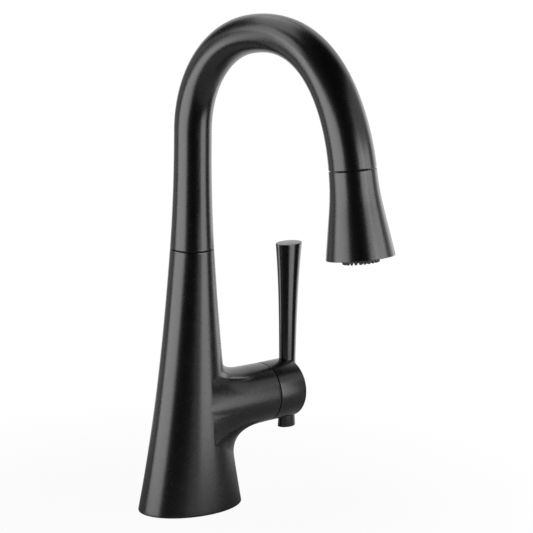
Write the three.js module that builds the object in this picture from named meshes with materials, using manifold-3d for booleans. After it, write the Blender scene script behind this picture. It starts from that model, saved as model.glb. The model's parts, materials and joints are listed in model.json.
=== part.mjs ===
// Single-handle gooseneck bar faucet with a pull-down spray head.
// Millimetres, +Z up. The origin is the centre of the base on the deck, the spout
// reaches along -Y and the handle stands out along +X.
import * as THREE from 'three';
import { mergeVertices } from 'three/addons/utils/BufferGeometryUtils.js';
import Module from 'manifold-3d';

const wasm = await Module();
wasm.setup();

// ---------------------------------------------------------------- driving sizes
const CLEAR = 0.3; // seat clearance between neighbouring pieces
const SEAM = 0.6; // open joint line between outer castings
const EDGE = 0.4; // broken edge of the outer castings
const DECK_GAP = 0.4; // the gasket holds the casting this far off the deck

// body casting: an oval foot that draws in to a round neck
const NECK_HEIGHT = 177.9;
const NECK_RADIUS = 14.6;
const FOOT_HALF_LENGTH = 40; // along the handle
const FOOT_HALF_WIDTH = 27.4; // along the spout
const FOOT_EDGE = 0.7;
const BODY_WALL = 4;
const FLARE_STRAIGHT_SHARE = 0.62; // the rest of the flare follows the power
const FLARE_POWER = 2.5;
const CAVITY_HEIGHT = 148;

// valve branch of the body
const HUB_HEIGHT = 68.4;
const HUB_RADIUS = 20.1;
const HUB_REACH = 64; // column axis to the middle of the cap's seam
const HUB_WALL = 2.6;
const HEEL_DROP = 15; // the blend below the branch, down the body
const HEEL_REACH = 26; // and out along the branch
const CROOK_RISE = 6.5; // the blend above the branch
const CROOK_REACH = 11;
const SIDE_SPREAD = 0.6; // the blend at its sides
const SIDE_REACH = 5;
const FLANK = 0.985; // share of the body's half width that the blend may take up

// foot plate, its screws and the deck gasket
const PLATE_THICK = 8;
const GASKET_THICK = 2;
const GASKET_WIDTH = 4;
const GASKET_INSET = 1.5;
const SUPPLY_HOLE_RADIUS = 5.6;
const SUPPLY_X = 14;
const SUPPLY_Y = 9;
const STUD_HOLE_RADIUS = 4;
const STUD_BOSS_RADIUS = 6;
const STUD_BOSS_RISE = 10;
const RIB = 1; // least wall between the features of the plate
const SCREW_RADIUS = 1.7;
const SCREW_HEAD_RADIUS = 3.1;
const SCREW_HEAD_THICK = 2.2;
const SCREW_LENGTH = 15;
const LUG_RADIUS = 4;
const LUG_RISE = 9;

// spray hose and the channel that it runs in
const HOSE_RADIUS = 4.5;
const HOSE_CHANNEL_RADIUS = 7.4;
const HOSE_STEPS = 36;
const HOSE_EASE = 0.33; // share of the last stretch over which the hose keeps a heading

// spout post, its nut and bearings
const POST_WALL = 1.8;
const POST_RISE = 28; // above the neck seam
const POST_SOCKET = 14;
const NUT_THICK = 5.5;
const WASHER_THICK = 3;
const NECK_LIP = 1.3;
const BUSHING_LENGTH = 9;
const FRICTION_RING_LENGTH = 2.4;
const CLIP_THICK = 1.2;

// gooseneck spout: a straight leg, an arc, then a curve that eases down to the outlet
const LEG_LENGTH = 79.2; // neck seam to the start of the bend
const BEND_RADIUS = 73;
const BEND_TURN = THREE.MathUtils.degToRad(76.3); // sweep of the arc
const BEND_EASE = 72.6; // how long the last curve keeps the arc's heading
const OUTLET_EASE = 30.2; // and how soon it takes the outlet's
const OUTLET_SPREAD = 7.9; // the outlet stands wider than two bend radii
const OUTLET_DROP = 2.1; // and lower than the start of the bend
const OUTLET_LEAN = THREE.MathUtils.degToRad(9);
const SPOUT_FOOT_RADIUS = 14.65;
const TUBE_RADIUS = 12.45;
const OUTLET_RADIUS = 15.2;
const TUBE_WALL = 1.4;
const FOOT_TAPER = 72; // the leg narrows over this length
const FOOT_TAPER_POWER = 2.05;
const SWELL_START = 0.14; // share of the swell that eases in, the rest is a plain taper

// docking seat in the outlet
const MAGNET_THICK = 4;
const MAGNET_WIDTH = 3.3;
const COLLAR_LENGTH = 7;
const SEAT_DEPTH = 0.3; // the magnet stands back from the end of the tube

// spray head, in its own frame: z = 0 on its seam with the spout, z down to the rim
const HEAD_LENGTH = 55.9;
const HEAD_TOP_RADIUS = 15.25;
const HEAD_RIM_RADIUS = 22.1;
const HEAD_FLARE_START = 0.45; // share of the flare that eases in
const HEAD_WALL = 1.8;
const KEEPER_THICK = 3;
const SPIGOT_RADIUS = 9.2;
const SPIGOT_LENGTH = 8;
const SPIGOT_TAPER = 1;
const SOCKET_DEPTH = 18; // bore for the hose connector
const CONNECTOR_WALL = 1.4;
const CONNECTOR_LENGTH = 13;
const FILTER_THICK = 1.8;
const PULL = 30; // travel of the head along its axis
const HOSE_END_SPARE = 2; // straight hose left in the spout when the head is out

// spray face
const FACE_RADIUS = 12.2;
const FACE_DROP = 2; // face below the rim
const FACE_THICK = 4.5;
const FACE_RING_RECESS = 0.6;
const NOZZLE_RADIUS = 0.95;
const NOZZLE_TIP = 0.75; // share of its radius that is left at a nozzle's tip
const NOZZLE_LENGTH = 1.3;
const NOZZLE_ROWS = [{ radius: 11, count: 24 }, { radius: 8.2, count: 14 }];
const AERATOR_RADIUS = 6.2;
const AERATOR_SLOTS = 6;
const SLOT_WIDTH = 1.1;

// mode button on the back of the head
const BUTTON_WIDTH = 9;
const BUTTON_HEIGHT = 16;
const BUTTON_DROP = 22; // below the seam
const BUTTON_PROUD = 0.8;
const BUTTON_DEPTH = 4.5;
const BUTTON_TRAVEL = 1.2;

// mixing cartridge
const CARTRIDGE_LENGTH = 19;
const CARTRIDGE_NECK_RADIUS = 12.3;
const CARTRIDGE_NECK_LENGTH = 8;
const CARTRIDGE_SETBACK = 14; // its shoulder stands this far behind the seam
const ROTOR_RADIUS = 10.5;
const ROTOR_LENGTH = 16;
const ROTOR_SETBACK = 1.5;
const CARTRIDGE_NUT_LENGTH = 6.7;
const SEAL_THICK = 1.3;
const BLOCK_RADIUS = 11.5;
const BLOCK_SEAT_RADIUS = 15;
const BLOCK_BELOW = 28;
const BLOCK_ABOVE = 36;
const NIPPLE_RADIUS = 4.2;
const NIPPLE_LENGTH = 10;

// handle: cap, lever and the stem that rocks in the cartridge
const CAP_LENGTH = 22.5;
const CAP_CROWN = 6.5;
const CAP_WALL = 2.2;
const CAP_HOLLOW = 12;
const CAP_BOSS_RADIUS = 8;
const CAP_BOSS_LENGTH = 8.5;
const STEM_WIDTH = 6;
const STEM_HEIGHT = 7;
const STEM_LENGTH = 21;
const TILT = THREE.MathUtils.degToRad(18);
const SET_SCREW_RADIUS = 2;
const SET_SCREW_LENGTH = 4.4;
const LEVER_REACH = 22.6; // cap's seam to the lever's axis
const LEVER_RISE = 101.3; // above the hub's axis
const LEVER_DROP = 27.8; // below it
const LEVER_WAIST_RADIUS = 5.57;
const LEVER_TOP_RADIUS = 8.9;
const LEVER_TAPER = 0.4; // share of the grip's swell that is a plain taper
const STUB_RADIUS = 5.95;
const LEVER_TOP_SLANT = THREE.MathUtils.degToRad(5);
const LEVER_SCREW_RADIUS = 2.5;

// facets
const BODY_SIDES = 36;
const SHELL_SIDES = 32;
const TUBE_SIDES = 26;
const HOLLOW_SIDES = 22;
const ROUND_SIDES = 20;
const SMALL_SIDES = 12;
const BLEND_STEPS = 6;

// ---------------------------------------------------------------- finishes
const finish = (name, color, roughness, metalness) =>
  new THREE.MeshStandardMaterial({ name, color, roughness, metalness });

const MATTE_BLACK = finish('matte_black_paint', 0x17181a, 0.42, 0.3);
const SATIN_BLACK = finish('satin_black_paint', 0x101113, 0.25, 0.35);
const RUBBER = finish('black_rubber', 0x1c1c1d, 0.85, 0);
const NOZZLE_RUBBER = finish('grey_nozzle_rubber', 0x3b3c3e, 0.7, 0);
const ACETAL = finish('white_acetal', 0xd8d6cf, 0.5, 0);
const DARK_PLASTIC = finish('dark_plastic', 0x232427, 0.55, 0);
const CARTRIDGE_PLASTIC = finish('cartridge_plastic', 0x8d9196, 0.5, 0);
const BRASS = finish('turned_brass', 0xb58e4a, 0.35, 0.9);
const STEEL = finish('stainless_steel', 0x9da1a6, 0.35, 0.95);
const BRAID = finish('hose_braid', 0x54575b, 0.6, 0.2);

// ---------------------------------------------------------------- solids
// Welds a geometry, drops the collapsed facets at its poles and turns it inside in.
function weld(geometry) {
  const bare = geometry.clone();
  bare.deleteAttribute('normal');
  bare.deleteAttribute('uv');
  const welded = mergeVertices(bare, 1e-4);
  const at = welded.attributes.position;
  const corner = [new THREE.Vector3(), new THREE.Vector3(), new THREE.Vector3()];
  const kept = [];
  let volume = 0;
  for (let i = 0; i < welded.index.count; i += 3) {
    const ids = [0, 1, 2].map((k) => welded.index.getX(i + k));
    if (ids[0] === ids[1] || ids[1] === ids[2] || ids[2] === ids[0]) continue;
    ids.forEach((id, k) => corner[k].fromBufferAttribute(at, id));
    volume += corner[0].dot(corner[1].clone().cross(corner[2]));
    kept.push(ids);
  }
  if (volume < 0) kept.forEach((ids) => ids.reverse());
  welded.setIndex(kept.flat());
  return welded;
}

function toSolid(geometry) {
  const welded = weld(geometry);
  return new wasm.Manifold(new wasm.Mesh({
    numProp: 3,
    vertProperties: new Float32Array(welded.attributes.position.array),
    triVerts: new Uint32Array(welded.index.array),
  }));
}

function toGeometry(solid) {
  const mesh = solid.getMesh();
  const geometry = new THREE.BufferGeometry();
  geometry.setAttribute('position', new THREE.BufferAttribute(mesh.vertProperties, 3));
  geometry.setIndex(new THREE.BufferAttribute(mesh.triVerts, 1));
  return geometry;
}

const join = (...parts) => parts.map(toSolid).reduce((a, b) => a.add(b));
const cut = (base, ...tools) => tools.map(toSolid).reduce((a, b) => a.subtract(b), base);

// Skins a row of rings. A looped row closes on itself, any other gets two end caps.
function loft(rings, looped = false) {
  const sides = rings[0].length;
  const points = rings.flat();
  const index = [];
  const spans = looped ? rings.length : rings.length - 1;
  for (let r = 0; r < spans; r += 1) {
    const low = r * sides;
    const high = ((r + 1) % rings.length) * sides;
    for (let s = 0; s < sides; s += 1) {
      const next = (s + 1) % sides;
      index.push(low + s, low + next, high + next, low + s, high + next, high + s);
    }
  }
  if (!looped) {
    [[0, 1], [rings.length - 1, -1]].forEach(([r, turn]) => {
      const middle = new THREE.Vector3();
      rings[r].forEach((p) => middle.addScaledVector(p, 1 / sides));
      const hub = points.push(middle) - 1;
      for (let s = 0; s < sides; s += 1) {
        const pair = [r * sides + s, r * sides + ((s + 1) % sides)];
        index.push(hub, ...(turn > 0 ? pair.reverse() : pair));
      }
    });
  }
  const geometry = new THREE.BufferGeometry().setFromPoints(points);
  geometry.setIndex(index);
  return geometry;
}

// Turns a profile of [radius, height] pairs about Z. A bored profile closes on itself.
function turn(profile, sides = ROUND_SIDES, bored = false) {
  const points = profile.map(([r, z]) => new THREE.Vector2(r, z));
  if (bored) points.push(points[0].clone());
  return new THREE.LatheGeometry(points, sides).rotateX(Math.PI / 2);
}

const disc = (radius, low, high, sides = ROUND_SIDES) =>
  turn([[0, low], [radius, low], [radius, high], [0, high]], sides);
const ring = (inner, outer, low, high, sides = ROUND_SIDES) =>
  turn([[inner, low], [outer, low], [outer, high], [inner, high]], sides, true);
const box = (x0, x1, y0, y1, z0, z1) =>
  new THREE.BoxGeometry(x1 - x0, y1 - y0, z1 - z0)
    .translate((x0 + x1) / 2, (y0 + y1) / 2, (z0 + z1) / 2);
// Lays a piece turned about Z along the valve branch, with z = 0 on the column axis.
const alongHub = (geometry) => geometry.rotateY(Math.PI / 2).translate(0, 0, HUB_HEIGHT);

const steps = (count) => Array.from({ length: count + 1 }, (_, i) => i / count);

function part(name, shape, material) {
  const geometry = shape.isBufferGeometry ? weld(shape) : toGeometry(shape);
  const mesh = new THREE.Mesh(geometry, material);
  mesh.name = name;
  return mesh;
}

// ---------------------------------------------------------------- shared forms
// Share of the foot's spread that is left at a height: 1 on the deck, 0 at the neck.
function flare(z) {
  const t = THREE.MathUtils.clamp(1 - z / NECK_HEIGHT, 0, 1);
  return FLARE_STRAIGHT_SHARE * t + (1 - FLARE_STRAIGHT_SHARE) * t ** FLARE_POWER;
}

const bodyHalfX = (z) => NECK_RADIUS + (FOOT_HALF_LENGTH - NECK_RADIUS) * flare(z);
const bodyHalfY = (z) => NECK_RADIUS + (FOOT_HALF_WIDTH - NECK_RADIUS) * flare(z);

// Oval section of the body, drawn in by an inset.
function bodyRing(z, inset, sides = BODY_SIDES) {
  const halfX = bodyHalfX(z) - inset;
  const halfY = bodyHalfY(z) - inset;
  return Array.from({ length: sides }, (_, i) => {
    const angle = (2 * Math.PI * i) / sides;
    return new THREE.Vector3(halfX * Math.cos(angle), halfY * Math.sin(angle), z);
  });
}

const plateLow = DECK_GAP + CLEAR;
const plateHigh = plateLow + PLATE_THICK;
const plateInset = BODY_WALL + CLEAR;
const gasketInset = plateInset + GASKET_INSET;
const screwX = FOOT_HALF_LENGTH - gasketInset - GASKET_WIDTH - RIB - SCREW_HEAD_RADIUS - 2 * CLEAR;
const studX = -(HOSE_CHANNEL_RADIUS + CLEAR + STUD_BOSS_RADIUS);

const bodyTop = NECK_HEIGHT - SEAM / 2;
const spoutBottom = NECK_HEIGHT + SEAM / 2;
const hubEnd = HUB_REACH - SEAM / 2;
const capStart = HUB_REACH + SEAM / 2;
const hubBore = HUB_RADIUS - HUB_WALL;

const postRadius = HOSE_CHANNEL_RADIUS + POST_WALL;
const postHole = postRadius + CLEAR;
const neckBore = NECK_RADIUS - NECK_LIP;
const tubeBore = TUBE_RADIUS - TUBE_WALL;
const washerLow = NECK_HEIGHT - WASHER_THICK / 2;
const washerHigh = NECK_HEIGHT + WASHER_THICK / 2;
const nutHigh = washerLow - CLEAR;
const nutLow = nutHigh - NUT_THICK;
const blockTop = HUB_HEIGHT + BLOCK_ABOVE;
const blockBottom = HUB_HEIGHT - BLOCK_BELOW;

// A straight line from 0 to 1 that eases in, as a parabola, over its first share.
function easeIn(share, start) {
  const u = THREE.MathUtils.clamp(share, 0, 1);
  return (u < start ? u * u / (2 * start) : u - start / 2) / (1 - start / 2);
}

// Radius of the spray head below its seam, and of its wall's inner side.
const headRadius = (drop) => HEAD_TOP_RADIUS
  + (HEAD_RIM_RADIUS - HEAD_TOP_RADIUS) * easeIn(drop / HEAD_LENGTH, HEAD_FLARE_START);
const headBore = (drop) => headRadius(drop) - HEAD_WALL;

// The bend's first stretch, an arc from the top of the leg.
const bendHeight = NECK_HEIGHT + LEG_LENGTH;
class BendArc extends THREE.Curve {
  getPoint(t, target = new THREE.Vector3()) {
    const angle = BEND_TURN * t;
    return target.set(0, -BEND_RADIUS * (1 - Math.cos(angle)), bendHeight + BEND_RADIUS * Math.sin(angle));
  }
}

// Centre line of the spout: leg, arc, and a curve that lands on the outlet's axis.
const outlet = new THREE.Vector3(0, -2 * BEND_RADIUS - OUTLET_SPREAD, bendHeight - OUTLET_DROP);
const outletDirection = new THREE.Vector3(0, -Math.sin(OUTLET_LEAN), -Math.cos(OUTLET_LEAN));
const arcEnd = new BendArc().getPoint(1);
const arcHeading = new THREE.Vector3(0, -Math.sin(BEND_TURN), Math.cos(BEND_TURN));
const centreLine = new THREE.CurvePath();
centreLine.add(new THREE.LineCurve3(new THREE.Vector3(0, 0, NECK_HEIGHT),
  new THREE.Vector3(0, 0, bendHeight)));
centreLine.add(new BendArc());
centreLine.add(new THREE.CubicBezierCurve3(arcEnd, arcEnd.clone().addScaledVector(arcHeading, BEND_EASE),
  outlet.clone().addScaledVector(outletDirection, -OUTLET_EASE), outlet));
const spoutLength = centreLine.getLength();

// Outer radius of the spout: a foot that tapers, a plain leg, then a slow swell from
// the top of the bend to the outlet.
const swellLength = LEG_LENGTH + (BEND_RADIUS * Math.PI) / 2;
function tubeRadius(length) {
  const taper = Math.max(0, 1 - length / FOOT_TAPER) ** FOOT_TAPER_POWER;
  const swell = easeIn((length - swellLength) / (spoutLength - swellLength), SWELL_START);
  return TUBE_RADIUS + (SPOUT_FOOT_RADIUS - TUBE_RADIUS) * taper
    + (OUTLET_RADIUS - TUBE_RADIUS) * swell;
}

function tubeRing(length, radius) {
  const point = centreLine.getPoint(length / spoutLength);
  const forward = centreLine.getTangent(length / spoutLength);
  const across = new THREE.Vector3(1, 0, 0);
  const out = new THREE.Vector3().crossVectors(forward, across);
  return Array.from({ length: TUBE_SIDES }, (_, i) => {
    const angle = (2 * Math.PI * i) / TUBE_SIDES;
    return point.clone().addScaledVector(across, radius * Math.cos(angle))
      .addScaledVector(out, radius * Math.sin(angle));
  });
}

// ---------------------------------------------------------------- body casting
// Point of the body's side, on the handle's half, seen along the branch at (y, z).
function bodySide(y, z) {
  const reach = FLANK * bodyHalfY(z);
  const inside = THREE.MathUtils.clamp(y, -reach, reach);
  return new THREE.Vector3(bodyHalfX(z) * Math.sqrt(1 - (inside / bodyHalfY(z)) ** 2), inside, z);
}

// The branch leaves the body by a blend whose section is a parabola: it starts along
// the branch, turns at the corner where branch and body would meet, and ends down the
// body. It is deep in the heel below, tight in the crook above and slight at the sides.
function valveBranch() {
  const lines = Array.from({ length: BODY_SIDES }, (_, i) => {
    const angle = (2 * Math.PI * i) / BODY_SIDES;
    const across = Math.sin(angle);
    const up = Math.cos(angle);
    const [drop, reach] = up < 0 ? [HEEL_DROP, HEEL_REACH] : [CROOK_RISE, CROOK_REACH];
    const spread = HUB_RADIUS + SIDE_SPREAD + drop * up * up;
    const corner = bodySide(HUB_RADIUS * across, HUB_HEIGHT + HUB_RADIUS * up);
    const along = new THREE.Vector3(1, 0, 0);
    const start = corner.clone().addScaledVector(along, SIDE_REACH + (reach - SIDE_REACH) * up * up);
    const end = bodySide(spread * across, HUB_HEIGHT + spread * up).addScaledVector(along, -EDGE);
    return { across, up, blend: new THREE.QuadraticBezierCurve3(start, corner, end) };
  });
  const hubRing = (x, radius) => lines.map(({ across, up }) =>
    new THREE.Vector3(x, radius * across, HUB_HEIGHT + radius * up));
  const blendRing = (t) => lines.map(({ blend }) => blend.getPoint(t));
  const root = blendRing(1).map((p) => new THREE.Vector3(0, p.y / 2, HUB_HEIGHT + (p.z - HUB_HEIGHT) / 2));
  return loft([hubRing(hubEnd, HUB_RADIUS - EDGE), hubRing(hubEnd - EDGE, HUB_RADIUS),
    ...steps(BLEND_STEPS).map(blendRing), root]);
}

function bodyShell() {
  const bottom = DECK_GAP;
  const outer = [bodyRing(bottom, FOOT_EDGE), bodyRing(bottom + FOOT_EDGE, 0)];
  const low = bottom + FOOT_EDGE;
  const high = bodyTop - EDGE;
  steps(12).slice(1).forEach((t) => outer.push(bodyRing(low + (high - low) * t, 0)));
  outer.push(bodyRing(bodyTop, EDGE));

  // hollow for the water ways, open on the deck side
  const hollow = [bodyRing(-1, BODY_WALL, HOLLOW_SIDES)];
  steps(5).forEach((t) => {
    hollow.push(bodyRing(bottom + (CAVITY_HEIGHT - bottom) * t, BODY_WALL, HOLLOW_SIDES));
  });
  const neckTop = bodyTop + 1;
  const valveBore = alongHub(disc(hubBore, 0, hubEnd + 1));

  const lugLow = plateHigh + CLEAR;
  const lug = (x) => join(disc(LUG_RADIUS, lugLow, lugLow + LUG_RISE, SMALL_SIDES).translate(x, 0, 0),
    box(Math.min(x, 2 * x), Math.max(x, 2 * x), -LUG_RADIUS, LUG_RADIUS, lugLow, lugLow + LUG_RISE));
  const lugHole = (x) => disc(SCREW_RADIUS + CLEAR, lugLow - 1, lugLow + LUG_RISE - 1, SMALL_SIDES)
    .translate(x, 0, 0);

  const casting = cut(join(loft(outer), valveBranch()), loft(hollow), valveBore,
    disc(postHole, CAVITY_HEIGHT - 1, neckTop), disc(neckBore, nutLow - CLEAR, neckTop));
  const inner = toSolid(loft(outer));
  const lugs = lug(-screwX).add(lug(screwX)).intersect(inner);
  return cut(casting.add(lugs), lugHole(-screwX), lugHole(screwX));
}

// ---------------------------------------------------------------- foot of the body

function footPlate() {
  const plate = loft([plateLow, plateHigh].map((z) => bodyRing(z, plateInset, HOLLOW_SIDES)));
  const groove = gasketGeometry(CLEAR, GASKET_THICK + CLEAR);
  const boss = disc(STUD_BOSS_RADIUS, plateHigh - 1, plateHigh + STUD_BOSS_RISE, SMALL_SIDES)
    .translate(studX, 0, 0);
  const through = plateHigh + STUD_BOSS_RISE + 1;
  const hole = (radius, x, y, high = through) => disc(radius, -1, high, SMALL_SIDES).translate(x, y, 0);
  const screwSeat = (x) => hole(SCREW_HEAD_RADIUS + CLEAR, x, 0, screwHeadHigh + CLEAR);
  return cut(join(plate, boss), groove,
    hole(HOSE_CHANNEL_RADIUS, 0, 0),
    hole(STUD_HOLE_RADIUS, studX, 0),
    hole(SUPPLY_HOLE_RADIUS, SUPPLY_X, -SUPPLY_Y),
    hole(SUPPLY_HOLE_RADIUS, SUPPLY_X, SUPPLY_Y),
    hole(SCREW_RADIUS + CLEAR, -screwX, 0), hole(SCREW_RADIUS + CLEAR, screwX, 0),
    screwSeat(-screwX), screwSeat(screwX));
}

// Oval ring between two insets from the body's outline, standing on the deck.
function gasketGeometry(grow, high) {
  const outer = gasketInset - grow;
  const inner = outer + GASKET_WIDTH + 2 * grow;
  const at = (z, inset) => bodyRing(0, inset, HOLLOW_SIDES).map((p) => new THREE.Vector3(p.x, p.y, z));
  const low = grow > 0 ? -1 : 0;
  return loft([at(low, outer), at(high, outer), at(high, inner), at(low, inner)], true);
}

const screwHeadLow = plateLow + 0.5;
const screwHeadHigh = screwHeadLow + SCREW_HEAD_THICK;
function plateScrew(x) {
  const shape = turn([[0, screwHeadLow], [SCREW_HEAD_RADIUS, screwHeadLow],
    [SCREW_HEAD_RADIUS, screwHeadHigh], [SCREW_RADIUS, screwHeadHigh],
    [SCREW_RADIUS, screwHeadLow + SCREW_LENGTH], [0, screwHeadLow + SCREW_LENGTH]], SMALL_SIDES);
  const socket = new THREE.CylinderGeometry(1.5, 1.5, 2.4, 6).rotateX(Math.PI / 2)
    .translate(0, 0, screwHeadLow);
  return cut(toSolid(shape), socket).translate([x, 0, 0]);
}

// ---------------------------------------------------------------- water ways
const seatFace = hubEnd - CARTRIDGE_SETBACK - CARTRIDGE_LENGTH;
function valveBlock() {
  const column = disc(BLOCK_RADIUS, blockBottom, blockTop);
  const seat = alongHub(disc(BLOCK_SEAT_RADIUS, 0, seatFace - SEAL_THICK - 2 * CLEAR));
  const nipple = (y) => disc(NIPPLE_RADIUS, blockBottom - NIPPLE_LENGTH, HUB_HEIGHT, SMALL_SIDES)
    .translate(SUPPLY_X, y, 0);
  const bore = (y) => disc(NIPPLE_RADIUS - 1.4, blockBottom - NIPPLE_LENGTH - 1, HUB_HEIGHT - 4, SMALL_SIDES)
    .translate(SUPPLY_X, y, 0);
  return cut(join(column, seat, nipple(-SUPPLY_Y), nipple(SUPPLY_Y)),
    disc(HOSE_CHANNEL_RADIUS, blockBottom - 1, blockTop),
    disc(postHole, blockTop - POST_SOCKET, blockTop + 1),
    bore(-SUPPLY_Y), bore(SUPPLY_Y));
}

function spoutPost() {
  const low = blockTop - POST_SOCKET + CLEAR;
  return ring(HOSE_CHANNEL_RADIUS, postRadius, low, NECK_HEIGHT + POST_RISE);
}

function postNut() {
  const across = neckBore - CLEAR;
  const hex = new THREE.CylinderGeometry(across, across, NUT_THICK, 6).rotateX(Math.PI / 2)
    .translate(0, 0, (nutLow + nutHigh) / 2);
  return cut(toSolid(hex), disc(postHole, nutLow - 1, nutHigh + 1));
}

const bushingRadius = tubeBore - CLEAR;
const bearing = (low, length) => ring(postHole, bushingRadius, low, low + length);
const lowerBushingLow = washerHigh + 1.5;
const frictionLow = lowerBushingLow + BUSHING_LENGTH + CLEAR;
const upperBushingLow = frictionLow + FRICTION_RING_LENGTH + CLEAR;
const clipLow = upperBushingLow + BUSHING_LENGTH + CLEAR;

function retainingClip() {
  const band = ring(postHole, bushingRadius, clipLow, clipLow + CLIP_THICK);
  return cut(toSolid(band), box(-2, 2, 0, bushingRadius + 1, clipLow - 1, clipLow + CLIP_THICK + 1));
}

// ---------------------------------------------------------------- cartridge
const cartridgeShoulder = hubEnd - CARTRIDGE_SETBACK;
const cartridgeFront = cartridgeShoulder + CARTRIDGE_NECK_LENGTH;
const rotorFront = hubEnd - ROTOR_SETBACK;
const rotorBack = rotorFront - ROTOR_LENGTH;

function cartridgeBody() {
  const radius = hubBore - CLEAR;
  const bore = ROTOR_RADIUS + CLEAR;
  return alongHub(turn([[0, seatFace], [radius, seatFace], [radius, cartridgeShoulder],
    [CARTRIDGE_NECK_RADIUS, cartridgeShoulder], [CARTRIDGE_NECK_RADIUS, cartridgeFront],
    [bore, cartridgeFront], [bore, rotorBack - CLEAR], [0, rotorBack - CLEAR]]));
}

function cartridgeNut() {
  const low = cartridgeShoulder + CLEAR;
  const high = low + CARTRIDGE_NUT_LENGTH;
  const band = ring(CARTRIDGE_NECK_RADIUS + CLEAR, hubBore - CLEAR, low, high);
  const notches = [0, 1, 2, 3].map((i) => box(-1.5, 1.5, hubBore - 2.5, hubBore + 1, high - 2.2, high + 1)
    .rotateZ((i * Math.PI) / 2 + Math.PI / 4));
  return cut(toSolid(alongHub(band)), ...notches.map(alongHub));
}

// The rotor turns for temperature. Its slot leaves the stem room to rock.
const stemBack = capStart + CAP_HOLLOW - CLEAR - STEM_LENGTH;
function cartridgeRotor() {
  const rise = (hubEnd - stemBack) * Math.sin(TILT);
  const slotFloor = stemBack - 1;
  const slot = box(slotFloor, rotorFront + 1, -STEM_WIDTH / 2 - 0.4, STEM_WIDTH / 2 + 0.4,
    HUB_HEIGHT - STEM_HEIGHT / 2 - 0.6, HUB_HEIGHT + STEM_HEIGHT / 2 + rise);
  return cut(toSolid(alongHub(disc(ROTOR_RADIUS, rotorBack, rotorFront))), slot);
}

// ---------------------------------------------------------------- handle
const leverX = HUB_REACH + LEVER_REACH;

function handleHub() {
  const outer = alongHub(handleCapBlank());
  const hollow = alongHub(disc(HUB_RADIUS - CAP_WALL, capStart - 1, capStart + CAP_HOLLOW));
  const bossFront = capStart + CAP_HOLLOW - CAP_BOSS_LENGTH;
  const boss = alongHub(disc(CAP_BOSS_RADIUS, bossFront, capStart + CAP_HOLLOW + 1, SMALL_SIDES));
  const socket = box(bossFront - 1, capStart + CAP_HOLLOW, -STEM_WIDTH / 2 - CLEAR, STEM_WIDTH / 2 + CLEAR,
    HUB_HEIGHT - STEM_HEIGHT / 2 - CLEAR, HUB_HEIGHT + STEM_HEIGHT / 2 + CLEAR);
  const screwBore = new THREE.CylinderGeometry(SET_SCREW_RADIUS + CLEAR, SET_SCREW_RADIUS + CLEAR,
    HUB_RADIUS + 1, SMALL_SIDES).translate(setScrewX, (HUB_RADIUS + 1) / 2, HUB_HEIGHT);
  const leverBore = toSolid(leverGeometry(CLEAR));
  const lockBore = alongHub(disc(LEVER_SCREW_RADIUS + CLEAR, capStart + CAP_HOLLOW - 1, leverX, SMALL_SIDES));
  return cut(cut(toSolid(outer), hollow).add(toSolid(boss)), socket, screwBore, lockBore)
    .subtract(leverBore);
}

function handleCapBlank() {
  const rim = HUB_REACH + CAP_LENGTH;
  const ballRadius = (HUB_RADIUS ** 2 + CAP_CROWN ** 2) / (2 * CAP_CROWN);
  const crown = steps(5).map((t) => {
    const r = (HUB_RADIUS - EDGE) * (1 - t);
    return [r, rim + Math.sqrt(ballRadius ** 2 - r ** 2) - (ballRadius - CAP_CROWN)];
  });
  return turn([[0, capStart], [HUB_RADIUS - EDGE, capStart], [HUB_RADIUS, capStart + EDGE],
    [HUB_RADIUS, rim - EDGE], ...crown], SHELL_SIDES);
}

const setScrewX = capStart + CAP_HOLLOW - CAP_BOSS_LENGTH / 2;
function setScrew() {
  const near = STEM_WIDTH / 2 + CLEAR;
  const grub = new THREE.CylinderGeometry(SET_SCREW_RADIUS, SET_SCREW_RADIUS, SET_SCREW_LENGTH, SMALL_SIDES);
  const key = new THREE.CylinderGeometry(1.1, 1.1, 3, 6).translate(0, SET_SCREW_LENGTH / 2, 0);
  return cut(toSolid(grub), key).translate([setScrewX, near + SET_SCREW_LENGTH / 2, HUB_HEIGHT]);
}

function handleStem() {
  return box(stemBack, stemBack + STEM_LENGTH, -STEM_WIDTH / 2, STEM_WIDTH / 2,
    HUB_HEIGHT - STEM_HEIGHT / 2, HUB_HEIGHT + STEM_HEIGHT / 2);
}

// Round tapered lever through the cap: a waist at the hub, a swelling grip and a stub.
function leverGeometry(grow = 0) {
  const top = LEVER_RISE;
  const waist = HUB_RADIUS;
  const gripSwell = LEVER_TOP_RADIUS - LEVER_WAIST_RADIUS;
  const grip = steps(12).map((t) => {
    const r = LEVER_WAIST_RADIUS + gripSwell * (LEVER_TAPER * t + (1 - LEVER_TAPER) * t ** 3);
    return [r + grow, waist + (top - waist) * t];
  });
  const profile = [[0, -LEVER_DROP - grow], [STUB_RADIUS - 0.9 + grow, -LEVER_DROP - grow],
    [STUB_RADIUS - 0.25 + grow, -LEVER_DROP + 0.3], [STUB_RADIUS + grow, -LEVER_DROP + 1],
    [LEVER_WAIST_RADIUS + grow, -waist], ...grip, [0, top + grow]];
  const slope = Math.tan(LEVER_TOP_SLANT);
  const geometry = turn(profile, ROUND_SIDES);
  const at = geometry.attributes.position;
  for (let i = 0; i < at.count; i += 1) {
    if (at.getZ(i) > top - 0.01) at.setZ(i, at.getZ(i) + slope * at.getX(i));
  }
  return geometry.translate(leverX, 0, HUB_HEIGHT);
}

function leverScrew() {
  const low = capStart + CAP_HOLLOW + CLEAR;
  const high = leverX - LEVER_WAIST_RADIUS - CLEAR;
  return alongHub(disc(LEVER_SCREW_RADIUS, low, high, SMALL_SIDES));
}

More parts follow.
